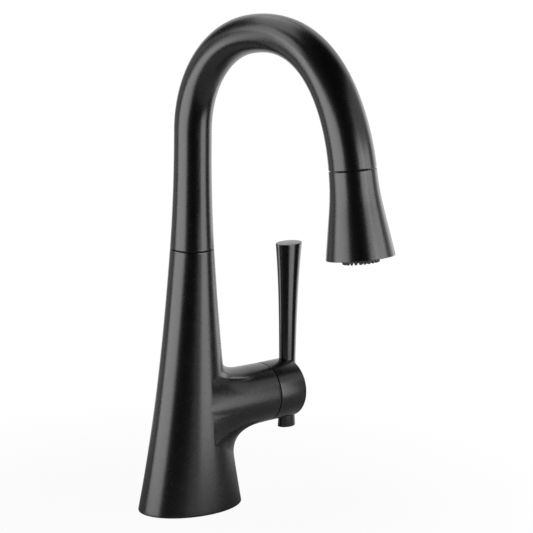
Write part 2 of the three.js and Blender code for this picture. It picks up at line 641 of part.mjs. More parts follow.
// ---------------------------------------------------------------- spout
const seatLow = SEAM / 2 + SEAT_DEPTH;
const magnetHigh = seatLow + MAGNET_THICK;
const dockHigh = magnetHigh + CLEAR + COLLAR_LENGTH;
function spoutTube() {
  const first = SEAM / 2;
  const last = spoutLength - SEAM / 2;
  const lengths = [first, first + EDGE];
  steps(5).slice(1).forEach((t) => lengths.push(first + EDGE + (LEG_LENGTH - first - EDGE) * t));
  const bend = last - EDGE - LEG_LENGTH;
  steps(20).slice(1).forEach((t) => lengths.push(LEG_LENGTH + bend * t));
  lengths.push(last);
  const outer = lengths.map((s, i) => {
    const edge = i === 0 || i === lengths.length - 1 ? EDGE : 0;
    return tubeRing(s, tubeRadius(s) - edge);
  });
  // a counterbore for the swivel washer, a plain bore up the leg, then an even wall
  const counter = washerHigh + CLEAR - NECK_HEIGHT;
  const bore = (s) => Math.min(tubeRadius(s) - TUBE_WALL, s < LEG_LENGTH ? tubeBore : Infinity);
  const inner = [tubeRing(first, neckBore), tubeRing(counter, neckBore), tubeRing(counter, tubeBore)];
  inner.push(tubeRing(LEG_LENGTH, tubeBore));
  const dock = dockHigh + CLEAR;
  steps(11).slice(1).forEach((t) => {
    const s = LEG_LENGTH + (spoutLength - dock - LEG_LENGTH) * t;
    inner.push(tubeRing(s, bore(s)));
  });
  inner.push(tubeRing(spoutLength - dock / 2, bore(spoutLength - dock / 2)), tubeRing(last, bore(last)));
  return loft([...outer, ...inner.reverse()], true);
}

// The hose runs up the column and round the bend, then eases on to the outlet's axis.
const hoseEndRise = PULL + HOSE_END_SPARE;
function sprayHose() {
  const meet = outlet.clone().addScaledVector(outletDirection, -hoseEndRise - CLEAR);
  const leave = swellLength / spoutLength;
  const from = centreLine.getPoint(leave);
  const heading = centreLine.getTangent(leave);
  const ease = from.distanceTo(meet) * HOSE_EASE;
  const path = new THREE.CurvePath();
  path.add(new THREE.LineCurve3(new THREE.Vector3(0, 0, plateLow), new THREE.Vector3(0, 0, bendHeight)));
  path.add(new BendArc());
  const third = from.distanceTo(arcEnd) / 3;
  path.add(new THREE.CubicBezierCurve3(arcEnd, arcEnd.clone().addScaledVector(arcHeading, third),
    from.clone().addScaledVector(heading, -third), from));
  path.add(new THREE.CubicBezierCurve3(from, from.clone().addScaledVector(heading, ease),
    meet.clone().addScaledVector(outletDirection, -ease), meet));
  const section = new THREE.Shape().absarc(0, 0, HOSE_RADIUS, 0, 2 * Math.PI);
  return new THREE.ExtrudeGeometry(section, { steps: HOSE_STEPS, curveSegments: 4, extrudePath: path });
}

// ---------------------------------------------------------------- outlet and spray head
// These are drawn in the head's frame: z = 0 on the seam, +z up into the spout.

// Room for a ring in the outlet at a rise above the seam, less the curved spout's sag there.
function seatRadius(rise) {
  const lost = centreLine.getPoint(1 - rise / spoutLength).sub(outlet).projectOnPlane(outletDirection);
  return tubeRadius(spoutLength - rise) - TUBE_WALL - lost.length() - CLEAR;
}
const spigotBore = HOSE_RADIUS + CONNECTOR_WALL + 2 * CLEAR;

function dockMagnet() {
  const outer = seatRadius(magnetHigh);
  return ring(outer - MAGNET_WIDTH, outer, seatLow, magnetHigh);
}

function dockCollar() {
  const low = magnetHigh + CLEAR;
  const high = dockHigh;
  return turn([[SPIGOT_RADIUS + CLEAR, low], [seatRadius(low), low], [seatRadius(high), high],
    [SPIGOT_RADIUS, high]], ROUND_SIDES, true);
}

const keeperHigh = -SEAM / 2 - SEAT_DEPTH;
const keeperLow = keeperHigh - KEEPER_THICK;
const keeperRing = () => ring(SPIGOT_RADIUS + 2 * CLEAR, headBore(0) - CLEAR, keeperLow, keeperHigh);

function shellBlank(grow, inset) {
  const outer = steps(8).map((t) => {
    const drop = SEAM / 2 + EDGE + (HEAD_LENGTH - SEAM / 2 - 2 * EDGE) * t;
    return [headRadius(drop) + grow, -drop];
  });
  const bottom = -HEAD_LENGTH;
  const top = -SEAM / 2;
  const inner = steps(6).map((t) => {
    const drop = SEAM / 2 + (HEAD_LENGTH - SEAM / 2) * (1 - t);
    return [headBore(drop) - inset, -drop];
  });
  return turn([[headRadius(0) - EDGE + grow, top], ...outer,
    [headRadius(HEAD_LENGTH) - EDGE + grow, bottom], ...inner], SHELL_SIDES, true);
}

// Rounded pad outline that pierces the back of the head, on local +Y.
function buttonPrism(grow, low, high) {
  const half = BUTTON_WIDTH / 2 + grow;
  const tall = BUTTON_HEIGHT / 2 + grow - half;
  const outline = new THREE.Shape();
  outline.absarc(0, tall, half, 0, Math.PI);
  outline.absarc(0, -tall, half, Math.PI, 2 * Math.PI);
  return new THREE.ExtrudeGeometry(outline, { depth: high - low, bevelEnabled: false, curveSegments: 8 })
    .rotateX(-Math.PI / 2).translate(0, low, -BUTTON_DROP);
}
const buttonInner = headBore(BUTTON_DROP) + HEAD_WALL - BUTTON_DEPTH;

function sprayShell() {
  return cut(toSolid(shellBlank(0, 0)), buttonPrism(CLEAR, buttonInner, HEAD_RIM_RADIUS));
}

function modeButton() {
  const grip = headRadius(BUTTON_DROP + BUTTON_HEIGHT) + BUTTON_PROUD;
  const proud = turn([[0, -BUTTON_DROP - BUTTON_HEIGHT], ...steps(6).map((t) => {
    const drop = BUTTON_DROP + BUTTON_HEIGHT * (1 - 2 * t);
    return [headRadius(drop) + BUTTON_PROUD, -drop];
  }), [0, -BUTTON_DROP + BUTTON_HEIGHT]], SHELL_SIDES);
  return toSolid(buttonPrism(0, buttonInner, grip + 1)).intersect(toSolid(proud));
}

const coreLow = -HEAD_LENGTH + FACE_THICK - FACE_DROP + CLEAR;
function sprayCore() {
  const socketLow = -SOCKET_DEPTH;
  const shoulder = keeperLow - CLEAR;
  const wall = steps(6).map((t) => {
    const z = shoulder + (coreLow - shoulder) * t;
    return [headBore(-z) - CLEAR, z];
  });
  const feed = HOSE_RADIUS - CONNECTOR_WALL;
  const chamber = FACE_RADIUS - 2;
  const core = turn([[SPIGOT_RADIUS - SPIGOT_TAPER, SPIGOT_LENGTH], [SPIGOT_RADIUS, -SEAM / 2],
    [SPIGOT_RADIUS, shoulder], ...wall, [chamber, coreLow], [chamber, coreLow + 8],
    [feed, coreLow + 14], [feed, socketLow], [spigotBore, socketLow], [spigotBore, SPIGOT_LENGTH]],
  ROUND_SIDES, true);
  const pocket = buttonPrism(2 * CLEAR, buttonInner - BUTTON_TRAVEL - CLEAR, HEAD_RIM_RADIUS);
  return cut(toSolid(core), pocket);
}

const filterLow = -SOCKET_DEPTH + CLEAR;
const connectorLow = filterLow + FILTER_THICK + CLEAR;
const connectorHigh = connectorLow + CONNECTOR_LENGTH;
const connectorFloor = connectorLow + 3;
function hoseConnector() {
  const outer = HOSE_RADIUS + CONNECTOR_WALL + CLEAR;
  const bore = HOSE_RADIUS + CLEAR;
  return turn([[bore - 2, connectorLow], [outer, connectorLow], [outer, connectorHigh],
    [bore, connectorHigh], [bore, connectorFloor], [bore - 2, connectorFloor]], ROUND_SIDES, true);
}
const inletFilter = () => ring(HOSE_RADIUS - 2, spigotBore - CLEAR, filterLow, filterLow + FILTER_THICK);
const hoseEnd = () => disc(HOSE_RADIUS, connectorFloor + CLEAR, hoseEndRise, SMALL_SIDES);

const faceLow = -HEAD_LENGTH - FACE_DROP;
function sprayFace() {
  const plate = ring(AERATOR_RADIUS + CLEAR, FACE_RADIUS, faceLow, faceLow + FACE_THICK, SHELL_SIDES);
  const nozzles = NOZZLE_ROWS.flatMap(({ radius, count }) => Array.from({ length: count }, (_, i) => {
    const angle = (2 * Math.PI * i) / count;
    return new THREE.CylinderGeometry(NOZZLE_RADIUS, NOZZLE_RADIUS * NOZZLE_TIP, NOZZLE_LENGTH + 1, 5)
      .rotateX(Math.PI / 2).translate(radius * Math.cos(angle), radius * Math.sin(angle),
        faceLow - (NOZZLE_LENGTH - 1) / 2);
  }));
  return join(plate, ...nozzles);
}

function faceRing() {
  const low = -HEAD_LENGTH + FACE_RING_RECESS;
  const high = coreLow - CLEAR;
  return ring(FACE_RADIUS + CLEAR, headBore(-high) - CLEAR, low, high, SHELL_SIDES);
}

function aerator() {
  const body = disc(AERATOR_RADIUS, faceLow - 0.4, faceLow + FACE_THICK);
  const slots = Array.from({ length: AERATOR_SLOTS }, (_, i) => box(-SLOT_WIDTH / 2, SLOT_WIDTH / 2,
    1.4, AERATOR_RADIUS - 1, faceLow - 1, faceLow + FACE_THICK - 1.2)
    .rotateZ((2 * Math.PI * i) / AERATOR_SLOTS));
  return cut(toSolid(body), ...slots);
}

// ---------------------------------------------------------------- assembly
const faucet = new THREE.Group();

faucet.add(
  part('body_shell', bodyShell(), MATTE_BLACK),
  part('foot_plate', footPlate(), BRASS),
  part('deck_gasket', gasketGeometry(0, GASKET_THICK), RUBBER),
  part('plate_screw_left', plateScrew(-screwX), STEEL),
  part('plate_screw_right', plateScrew(screwX), STEEL),
  part('valve_block', valveBlock(), BRASS),
  part('spout_post', spoutPost(), BRASS),
  part('post_nut', postNut(), BRASS),
  part('swivel_washer', ring(postHole, neckBore - CLEAR, washerLow, washerHigh), DARK_PLASTIC),
  part('lower_bushing', bearing(lowerBushingLow, BUSHING_LENGTH), ACETAL),
  part('friction_ring', bearing(frictionLow, FRICTION_RING_LENGTH), RUBBER),
  part('upper_bushing', bearing(upperBushingLow, BUSHING_LENGTH), ACETAL),
  part('retaining_clip', retainingClip(), STEEL),
);

faucet.add(
  part('cartridge_seal', alongHub(ring(4, BLOCK_SEAT_RADIUS - 1, seatFace - CLEAR - SEAL_THICK,
    seatFace - CLEAR)), RUBBER),
  part('cartridge_body', cartridgeBody(), CARTRIDGE_PLASTIC),
  part('cartridge_nut', cartridgeNut(), BRASS),
  part('cartridge_rotor', cartridgeRotor(), ACETAL),
  part('handle_stem', handleStem(), STEEL),
  part('handle_hub', handleHub(), MATTE_BLACK),
  part('handle_lever', leverGeometry(), SATIN_BLACK),
  part('lever_screw', leverScrew(), STEEL),
  part('set_screw', setScrew(), STEEL),
);

faucet.add(
  part('spout_tube', spoutTube(), MATTE_BLACK),
  part('spray_hose', sprayHose(), BRAID),
);

const head = new THREE.Group();
head.position.copy(outlet);
head.rotation.x = -OUTLET_LEAN;
head.add(
  part('dock_magnet', dockMagnet(), STEEL),
  part('dock_collar', dockCollar(), DARK_PLASTIC),
  part('keeper_ring', keeperRing(), STEEL),
  part('spray_shell', sprayShell(), MATTE_BLACK),
  part('spray_core', sprayCore(), DARK_PLASTIC),
  part('hose_connector', hoseConnector(), BRASS),
  part('inlet_filter', inletFilter(), RUBBER),
  part('hose_end', hoseEnd(), BRAID),
  part('spray_face', sprayFace(), NOZZLE_RUBBER),
  part('face_ring', faceRing(), DARK_PLASTIC),
  part('aerator', aerator(), DARK_PLASTIC),
  part('mode_button', modeButton(), MATTE_BLACK),
);
faucet.add(head);

export default faucet;
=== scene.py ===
"""Gooseneck bar faucet: the finished pieces, their finishes and the studio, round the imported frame.

Lengths are in metres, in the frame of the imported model: +Z up, the spout reaches along -Y
and the handle stands out along +X.
"""
import bisect
import json
import math

import bmesh
import bpy
from bpy.props import FloatProperty, FloatVectorProperty, IntProperty, PointerProperty
from mathutils import Matrix, Vector


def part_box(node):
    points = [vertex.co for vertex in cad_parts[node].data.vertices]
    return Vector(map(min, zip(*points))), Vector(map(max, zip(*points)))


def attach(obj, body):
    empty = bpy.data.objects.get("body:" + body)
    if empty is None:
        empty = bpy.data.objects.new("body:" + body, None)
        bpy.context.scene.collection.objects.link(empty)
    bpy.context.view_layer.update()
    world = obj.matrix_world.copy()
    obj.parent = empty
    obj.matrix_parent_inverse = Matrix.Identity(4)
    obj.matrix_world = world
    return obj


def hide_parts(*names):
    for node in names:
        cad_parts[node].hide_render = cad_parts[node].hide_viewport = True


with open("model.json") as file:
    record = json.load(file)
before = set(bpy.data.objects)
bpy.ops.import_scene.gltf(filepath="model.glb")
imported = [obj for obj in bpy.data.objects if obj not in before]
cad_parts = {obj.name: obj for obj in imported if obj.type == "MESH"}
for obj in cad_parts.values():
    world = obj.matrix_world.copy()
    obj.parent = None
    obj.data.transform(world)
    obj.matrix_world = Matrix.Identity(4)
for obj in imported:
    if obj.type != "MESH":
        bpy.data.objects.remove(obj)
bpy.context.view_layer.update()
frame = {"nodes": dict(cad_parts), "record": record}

bl_info = {
    "name": "Bar faucet",
    "version": (1, 0, 0),
    "blender": (4, 5, 0),
    "location": "View3D > Sidebar > Faucet",
    "description": "Builds the finished pieces of a gooseneck bar faucet round its packed frame",
    "category": "Object",
}

MM = 0.001
SEAM = 0.6 * MM  # open joint line between the outer castings
CLEAR = 0.3 * MM  # seat clearance between neighbouring pieces
SHARP_ANGLE = math.radians(32)  # a fold over this is an edge, not a curve
X_AXIS = Vector((1, 0, 0))


# --- places taken from the frame
def node_box(name):
    low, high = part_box(name)
    return Vector(low), Vector(high)


BODY_LOW, BODY_HIGH = node_box("body_shell")
HUB_LOW, HUB_HIGH = node_box("handle_hub")
LEVER_LOW, LEVER_HIGH = node_box("handle_lever")

NECK_HEIGHT = BODY_HIGH.z + SEAM / 2
HUB_END = BODY_HIGH.x
HUB_RADIUS = (HUB_HIGH.z - HUB_LOW.z) / 2
HUB_HEIGHT = (HUB_HIGH.z + HUB_LOW.z) / 2
LEVER_X = (LEVER_LOW.x + LEVER_HIGH.x) / 2


def mm(name, description, size):
    """A size that a user can change, given here in millimetres."""
    return FloatProperty(name=name, description=description, default=size * MM, min=0.0,
                         precision=5, unit="LENGTH")


def angle_prop(name, description, degrees):
    return FloatProperty(name=name, description=description, default=math.radians(degrees),
                         subtype="ANGLE")


def number_prop(name, description, value):
    return FloatProperty(name=name, description=description, default=value, min=0.0, precision=3)


def share_prop(name, description, share):
    return FloatProperty(name=name, description=description, default=share, min=0.0, max=1.0,
                         subtype="FACTOR")


def colour_prop(name, description, colour):
    return FloatVectorProperty(name=name, description=description, default=colour, size=3,
                               min=0.0, max=1.0, subtype="COLOR")


def count_prop(name, description, count):
    return IntProperty(name=name, description=description, default=count, min=3)


# --- sizes and colours
class BodySizes(bpy.types.PropertyGroup):
    """Sizes of the body casting and its valve branch."""
    neck_radius: mm("Neck radius", "Round top of the column", 14.65)
    foot_edge: mm("Foot edge", "Rounding where the casting meets the deck", 0.7)
    handle_trim: mm("Handle side trim", "Foot shorter on the handle's side", 0.5)
    edge: mm("Edge", "Rounding of the seams' edges", 0.45)
    straight_share: share_prop("Straight share", "Part of the spread that tapers plainly", 0.62)
    flare_power: number_prop("Flare power", "How late the rest of the spread comes", 2.5)
    wall: mm("Wall", "Thickness of the casting", 4.0)
    cavity_height: mm("Cavity height", "Top of the hollow for the water ways", 148.0)
    hub_wall: mm("Hub wall", "Wall of the valve branch", 2.6)
    neck_bore: mm("Neck bore", "Radius of the bore at the top of the column", 13.2)
    post_hole: mm("Post hole", "Radius of the hole that the spout post passes", 9.5)
    neck_bore_depth: mm("Neck bore depth", "Seat of the post nut below the neck seam", 7.6)
    heel_drop: mm("Heel drop", "Blend below the branch, down the body", 16.0)
    heel_reach: mm("Heel reach", "Blend below the branch, out along it", 28.0)
    crook_rise: mm("Crook rise", "Blend above the branch, up the body", 9.0)
    crook_reach: mm("Crook reach", "Blend above the branch, out along it", 24.0)
    side_spread: mm("Side spread", "Blend at the sides, round the body", 3.0)
    side_reach: mm("Side reach", "Blend at the sides, out along the branch", 16.0)
    branch_taper: mm("Branch taper", "Branch wider at its root than at its seam", 0.9)


class SpoutSizes(bpy.types.PropertyGroup):
    """Sizes of the gooseneck spout."""
    leg: mm("Leg", "Neck seam to the start of the bend", 79.2)
    bend_radius: mm("Bend radius", "Radius of the arc at the top of the leg", 73.0)
    bend_turn: angle_prop("Bend turn", "Sweep of the arc", 76.3)
    bend_ease: mm("Bend ease", "How long the last curve keeps the arc's heading", 72.6)
    outlet_ease: mm("Outlet ease", "How soon it takes the outlet's heading", 30.2)
    spread: mm("Outlet spread", "Outlet beyond two bend radii", 7.9)
    drop: mm("Outlet drop", "Outlet below the start of the bend", 2.1)
    lean: angle_prop("Outlet lean", "Lean of the outlet away from the column", 9.0)
    foot_radius: mm("Foot radius", "Radius at the neck seam", 14.65)
    radius: mm("Radius", "Plain radius of the tube", 12.45)
    outlet_radius: mm("Outlet radius", "Radius at the head's seam", 15.2)
    wall: mm("Wall", "Wall of the tube", 1.4)
    foot_taper: mm("Foot taper", "The leg narrows over this length", 72.0)
    foot_taper_power: number_prop("Taper power", "How soon the leg narrows", 2.05)
    swell_start: share_prop("Swell start", "Share of the swell that eases in", 0.14)
    edge: mm("Edge", "Rounding of the tube's ends", 0.45)
    counterbore: mm("Counterbore", "Depth of the seat for the swivel washer", 1.8)


class HeadSizes(bpy.types.PropertyGroup):
    """Sizes of the spray head, its face and its mode button."""
    length: mm("Length", "Seam to rim", 55.9)
    top_radius: mm("Top radius", "Radius at the seam", 15.25)
    rim_radius: mm("Rim radius", "Radius at the rim", 22.05)
    flare_start: share_prop("Flare start", "Share of the flare that eases in", 0.45)
    wall: mm("Wall", "Wall of the shell", 1.8)
    edge: mm("Edge", "Rounding of the rim and the seam", 0.5)
    face_radius: mm("Face radius", "Radius of the rubber face", 12.2)
    face_drop: mm("Face drop", "Face below the rim", 2.0)
    face_thick: mm("Face thickness", "Thickness of the rubber face", 4.5)
    ring_recess: mm("Ring recess", "Face ring above the rim", 0.6)
    ring_height: mm("Ring height", "Height of the ring round the face", 1.9)
    nozzle_radius: mm("Nozzle radius", "Radius of a nozzle at its root", 0.95)
    nozzle_tip: share_prop("Nozzle tip", "Share of its radius that is left at a nozzle's tip", 0.75)
    nozzle_length: mm("Nozzle length", "Nozzle below the face", 1.3)
    outer_row: mm("Outer row", "Radius of the outer row of nozzles", 11.0)
    inner_row: mm("Inner row", "Radius of the inner row of nozzles", 8.2)
    outer_count: count_prop("Outer count", "Nozzles in the outer row", 24)
    inner_count: count_prop("Inner count", "Nozzles in the inner row", 14)
    aerator_radius: mm("Aerator radius", "Radius of the stream outlet", 6.2)
    button_width: mm("Button width", "Width of the mode button", 9.0)
    button_height: mm("Button height", "Height of the mode button", 16.0)
    button_drop: mm("Button drop", "Middle of the button below the seam", 22.0)
    button_proud: mm("Button proud", "Button above the shell", 0.8)
    button_depth: mm("Button depth", "Button below the shell's surface", 4.5)


class HandleSizes(bpy.types.PropertyGroup):
    """Sizes of the handle's cap and lever."""
    cap_length: mm("Cap length", "Seam to the rim of the cap", 22.5)
    cap_crown: mm("Cap crown", "Rise of the domed end", 6.5)
    cap_edge: mm("Cap edge", "Rounding of the cap's seam and rim", 0.5)
    cap_wall: mm("Cap wall", "Wall of the cap", 2.2)
    cap_hollow: mm("Cap hollow", "Depth of the cap's hollow", 12.0)
    boss_radius: mm("Boss radius", "Boss that grips the stem", 8.0)
    boss_length: mm("Boss length", "Length of the boss", 8.5)
    oval: number_prop("Oval", "Lever's section, long side by short side", 1.48)
    waist: mm("Waist", "Mean radius of the lever at the cap", 5.32)
    top_radius: mm("Top radius", "Mean radius at the lever's top", 8.5)
    taper: share_prop("Taper", "Share of the grip's swell that is a plain taper", 0.4)
    stub_radius: mm("Stub radius", "Mean radius of the stub below the cap", 5.69)
    rise: mm("Rise", "Lever's top above the branch's axis", 101.1)
    drop: mm("Drop", "Stub's end below the branch's axis", 27.8)
    edge: mm("Edge", "Rounding of the lever's ends", 0.7)
    set_screw_hole: mm("Set screw hole", "Radius of the hole for the set screw", 2.3)


class FinishColours(bpy.types.PropertyGroup):
    """Colours of the finishes."""
    matte_black: colour_prop("Matte black", "Coating of the castings", (0.004, 0.004, 0.0042))
    satin_black: colour_prop("Satin black", "Glossier coating of the lever", (0.003, 0.003, 0.0032))
    rubber: colour_prop("Rubber", "Seals and gasket", (0.018, 0.018, 0.018))
    silicone: colour_prop("Silicone", "Spray face and nozzles", (0.05, 0.051, 0.054))
    acetal: colour_prop("Acetal", "Bushings and rotor", (0.68, 0.67, 0.63))
    dark_plastic: colour_prop("Dark plastic", "Core of the spray head", (0.02, 0.02, 0.023))
    grey_plastic: colour_prop("Grey plastic", "Cartridge", (0.26, 0.28, 0.3))
    brass: colour_prop("Brass", "Castings and turned fittings inside", (0.56, 0.38, 0.16))
    steel: colour_prop("Steel", "Screws, clip and stem", (0.5, 0.51, 0.53))
    braid: colour_prop("Braid", "Woven cover of the hose", (0.05, 0.053, 0.058))


class StudioSettings(bpy.types.PropertyGroup):
    """Camera, floor and lights."""
    azimuth: angle_prop("Azimuth", "Camera's turn about the column", -41.84)
    elevation: angle_prop("Elevation", "Camera's height angle", 12.89)
    roll: angle_prop("Roll", "Camera's roll", -0.69)
    lens: FloatProperty(name="Lens", description="Focal length", default=229.64,
                        subtype="DISTANCE_CAMERA")
    floor_radius: mm("Floor radius", "Radius of the pale floor", 320.0)
    floor_white: share_prop("Floor white", "Share of the floor that the camera sees as white", 0.95)
    dim: number_prop("Room", "Light of the dim room round the lamps", 0.006)
    backdrop: angle_prop("Backdrop", "Turn of the pale backdrop's middle from the camera", 165.0)


# --- making meshes
class Shape:
    """Vertices and faces of a piece while it is made."""

    def __init__(self):
        self.points = []
        self.faces = []

    def ring(self, points):
        """Adds a ring of vertices and returns their numbers."""
        first = len(self.points)
        self.points.extend(points)
        return list(range(first, len(self.points)))

    def bridge(self, low, high):
        """Skins two rings of like length."""
        count = len(low)
        for i in range(count):
            j = (i + 1) % count
            self.faces.append((low[i], low[j], high[j], high[i]))

    def close(self, ring):
        """Closes a ring with a fan to its middle."""
        middle = sum((self.points[i] for i in ring), Vector()) / len(ring)
        hub = self.ring([middle])[0]
        for i, here in enumerate(ring):
            self.faces.append((here, ring[(i + 1) % len(ring)], hub))

    def skin(self, rings, looped=False):
        """Skins a row of rings; a looped row closes on itself, another gets two ends."""
        numbers = [self.ring(points) for points in rings]
        for low, high in zip(numbers, numbers[1:]):
            self.bridge(low, high)
        if looped:
            self.bridge(numbers[-1], numbers[0])
        else:
            self.close(numbers[0])
            self.close(numbers[-1])
        return self


def piece_of(name, shape, place=Matrix()):
    """Makes an object of a shape, with its place in its mesh and its faces out."""
    mesh = bpy.data.meshes.new(name)
    mesh.from_pydata([place @ p for p in shape.points], [], shape.faces)
    made = bmesh.new()
    made.from_mesh(mesh)
    bmesh.ops.remove_doubles(made, verts=made.verts, dist=1e-7)
    bmesh.ops.recalc_face_normals(made, faces=made.faces)
    made.to_mesh(mesh)
    made.free()
    piece = bpy.data.objects.new(name, mesh)
    bpy.context.scene.collection.objects.link(piece)
    return piece


def bake(piece):
    """Applies a piece's modifiers to its mesh."""
    graph = bpy.context.evaluated_depsgraph_get()
    mesh = bpy.data.meshes.new_from_object(piece.evaluated_get(graph), depsgraph=graph)
    piece.modifiers.clear()
    old, piece.data = piece.data, mesh
    bpy.data.meshes.remove(old)
    mesh.name = piece.name


def carve(piece, tool, operation="DIFFERENCE"):
    """Cuts a piece with a tool, or joins the tool to it, and drops the tool."""
    carving = piece.modifiers.new("carve", "BOOLEAN")
    carving.operation = operation
    carving.solver = "EXACT"
    carving.object = tool
    bake(piece)
    bpy.data.objects.remove(tool)


def dress(piece, body, slot, node):
    """Gives a piece the finish of its slot and its shading, sets it on its body, and hides the CAD
    node that it stands for.
    """
    mesh = piece.data
    mesh.materials.clear()
    mesh.materials.append(finish(slot))
    mesh.polygons.foreach_set("material_index", [0] * len(mesh.polygons))
    mesh.shade_smooth()
    mesh.set_sharp_from_angle(angle=SHARP_ANGLE)
    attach(piece, body)
    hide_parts(node)


def steps(count):
    """Even shares from 0 to 1."""
    return [i / count for i in range(count + 1)]


QUARTER = [math.pi / 2 * t for t in steps(6)]  # turns along a small rounding


def turns(count):
    """Even turns round a full circle."""
    return [2 * math.pi * i / count for i in range(count)]


def circle(radius, height, sides):
    return [Vector((radius * math.cos(a), radius * math.sin(a), height)) for a in turns(sides)]


def softened(profile, closed=False, segments=5):
    """Points of a profile of (radius, height, rounding) corners, each rounding as a small curve."""
    corners = [Vector((r, z)) for r, z, _ in profile]
    points = []
    for i, (radius, height, rounding) in enumerate(profile):
        here = corners[i]
        if not rounding or (not closed and i in (0, len(profile) - 1)):
            points.append((radius, height))
            continue
        before = here + (corners[i - 1] - here).normalized() * rounding
        after = here + (corners[(i + 1) % len(corners)] - here).normalized() * rounding
        for t in steps(segments):
            at = before * (1 - t) ** 2 + here * 2 * t * (1 - t) + after * t ** 2
            points.append((at.x, at.y))
    return points


def turned(name, profile, sides=128, bored=False, place=Matrix()):
    """Turns a profile of (radius, height) points about Z. A bored profile closes on itself."""
    rings = [circle(radius, height, sides) for radius, height in profile]
    return piece_of(name, Shape().skin(rings, looped=bored), place)


def block(name, low, high, place=Matrix()):
    """A plain rectangular cutting tool."""
    rings = [[Vector((x, y, z)) for x, y in ((low[0], low[1]), (high[0], low[1]),
                                             (high[0], high[1]), (low[0], high[1]))]
             for z in (low[2], high[2])]
    return piece_of(name, Shape().skin(rings), place)


# Lays what is turned about Z along the valve branch, with z = 0 on the column's axis.
ALONG_HUB = Matrix.Translation((0, 0, HUB_HEIGHT)) @ Matrix.Rotation(math.pi / 2, 4, "Y")


# --- finishes
class Nodes:
    """Short ways to add and link the nodes of one tree."""

    def __init__(self, tree):
        self.tree = tree
        tree.nodes.clear()

    def node(self, kind, *sources, **values):
        """Adds a node, sets its properties, and links or sets its first inputs in order."""
        made = self.tree.nodes.new(kind)
        for key, value in values.items():
            setattr(made, key, value)
        for source, target in zip(sources, made.inputs):
            if isinstance(source, bpy.types.NodeSocket):
                self.tree.links.new(source, target)
            elif source is not None:
                target.default_value = source
        return made


PATTERN_RANGE = (0.3, 0.7)  # most of a noise's values lie between these


class FinishNodes(Nodes):
    """A material under construction, with its patterns in the object's own space."""

    def __init__(self, name):
        self.material = bpy.data.materials.new(name)
        self.material.use_nodes = True
        super().__init__(self.material.node_tree)
        self.shader = self.node("ShaderNodeBsdfPrincipled")
        self.node("ShaderNodeOutputMaterial", self.shader.outputs[0])
        self.place = self.node("ShaderNodeTexCoord").outputs["Object"]

    def feed(self, source, socket):
        self.tree.links.new(source, self.shader.inputs[socket])

    def noise(self, scale, detail, stretch=(1, 1, 1)):
        """A noise of so many blotches to the metre, stretched along the object's axes."""
        mapping = self.node("ShaderNodeMapping", self.place, None, None, stretch)
        blotches = self.node("ShaderNodeTexNoise", mapping.outputs[0], None, scale, detail)
        return blotches.outputs["Fac"]

    def tint(self, value, colour, spread):
        """Colours the surface between a darker and a lighter tone of one colour."""
        ramp = self.node("ShaderNodeValToRGB", value)
        ends = zip(ramp.color_ramp.elements, PATTERN_RANGE, (1 - spread, 1 + spread))
        for end, position, tone in ends:
            end.position = position
            end.color = (*(min(1, c * tone) for c in colour), 1)
        self.feed(ramp.outputs["Color"], "Base Color")

    def rough(self, value, low, high):
        self.feed(self.node("ShaderNodeMapRange", value, *PATTERN_RANGE, low, high).outputs[0],
                  "Roughness")

    def relief(self, value, height):
        self.feed(self.node("ShaderNodeBump", 1.0, height, None, value).outputs[0], "Normal")

    def done(self, **sockets):
        """The material, with the values that are the same all over set on the shader."""
        for name, value in sockets.items():
            self.shader.inputs[name].default_value = value
        return self.material


def sprayed_black(name, colour, low, high, ior, peel):
    """Black sprayed coating: soft orange peel, a fine dry grain and slow changes of gloss."""
    coat = FinishNodes(name)
    coat.tint(coat.noise(90, 4), colour, 0.25)
    coat.rough(coat.noise(260, 5), low, high)
    grain = coat.node("ShaderNodeMath", coat.noise(5200, 2), 0.3, coat.noise(700, 2),
                      operation="MULTIPLY_ADD")
    coat.relief(grain.outputs[0], peel)
    return coat.done(IOR=ior)


def moulded(name, colour, low, high, grain, scale, tone=0.12):
    """Moulded rubber or plastic with a fine grain."""
    skin = FinishNodes(name)
    skin.tint(skin.noise(120, 3), colour, tone)
    skin.rough(skin.noise(900, 3), low, high)
    skin.relief(skin.noise(scale, 3), grain)
    return skin.done()


def turned_metal(name, colour, low, high, stretch, grain):
    """Metal with fine tool marks, which are a noise drawn out along the cut."""
    metal = FinishNodes(name)
    metal.tint(metal.noise(140, 4), colour, 0.14)
    marks = metal.noise(2600, 2, stretch)
    metal.rough(marks, low, high)
    metal.relief(marks, grain)
    return metal.done(Metallic=1.0)


def woven(name, colour):
    """Woven hose cover: two crossing families of strands."""
    cover = FinishNodes(name)
    strands = []
    for turn in (math.radians(35), math.radians(-35)):
        mapping = cover.node("ShaderNodeMapping", cover.place, None, (0, 0, turn))
        wave = cover.node("ShaderNodeTexWave", mapping.outputs[0], 420, 0.6,
                          wave_type="BANDS", bands_direction="DIAGONAL")
        strands.append(wave.outputs["Fac"])
    weave = cover.node("ShaderNodeMath", *strands, operation="MULTIPLY").outputs[0]
    cover.tint(weave, colour, 0.5)
    cover.rough(weave, 0.5, 0.75)
    cover.relief(weave, 0.25 * MM)
    return cover.done()


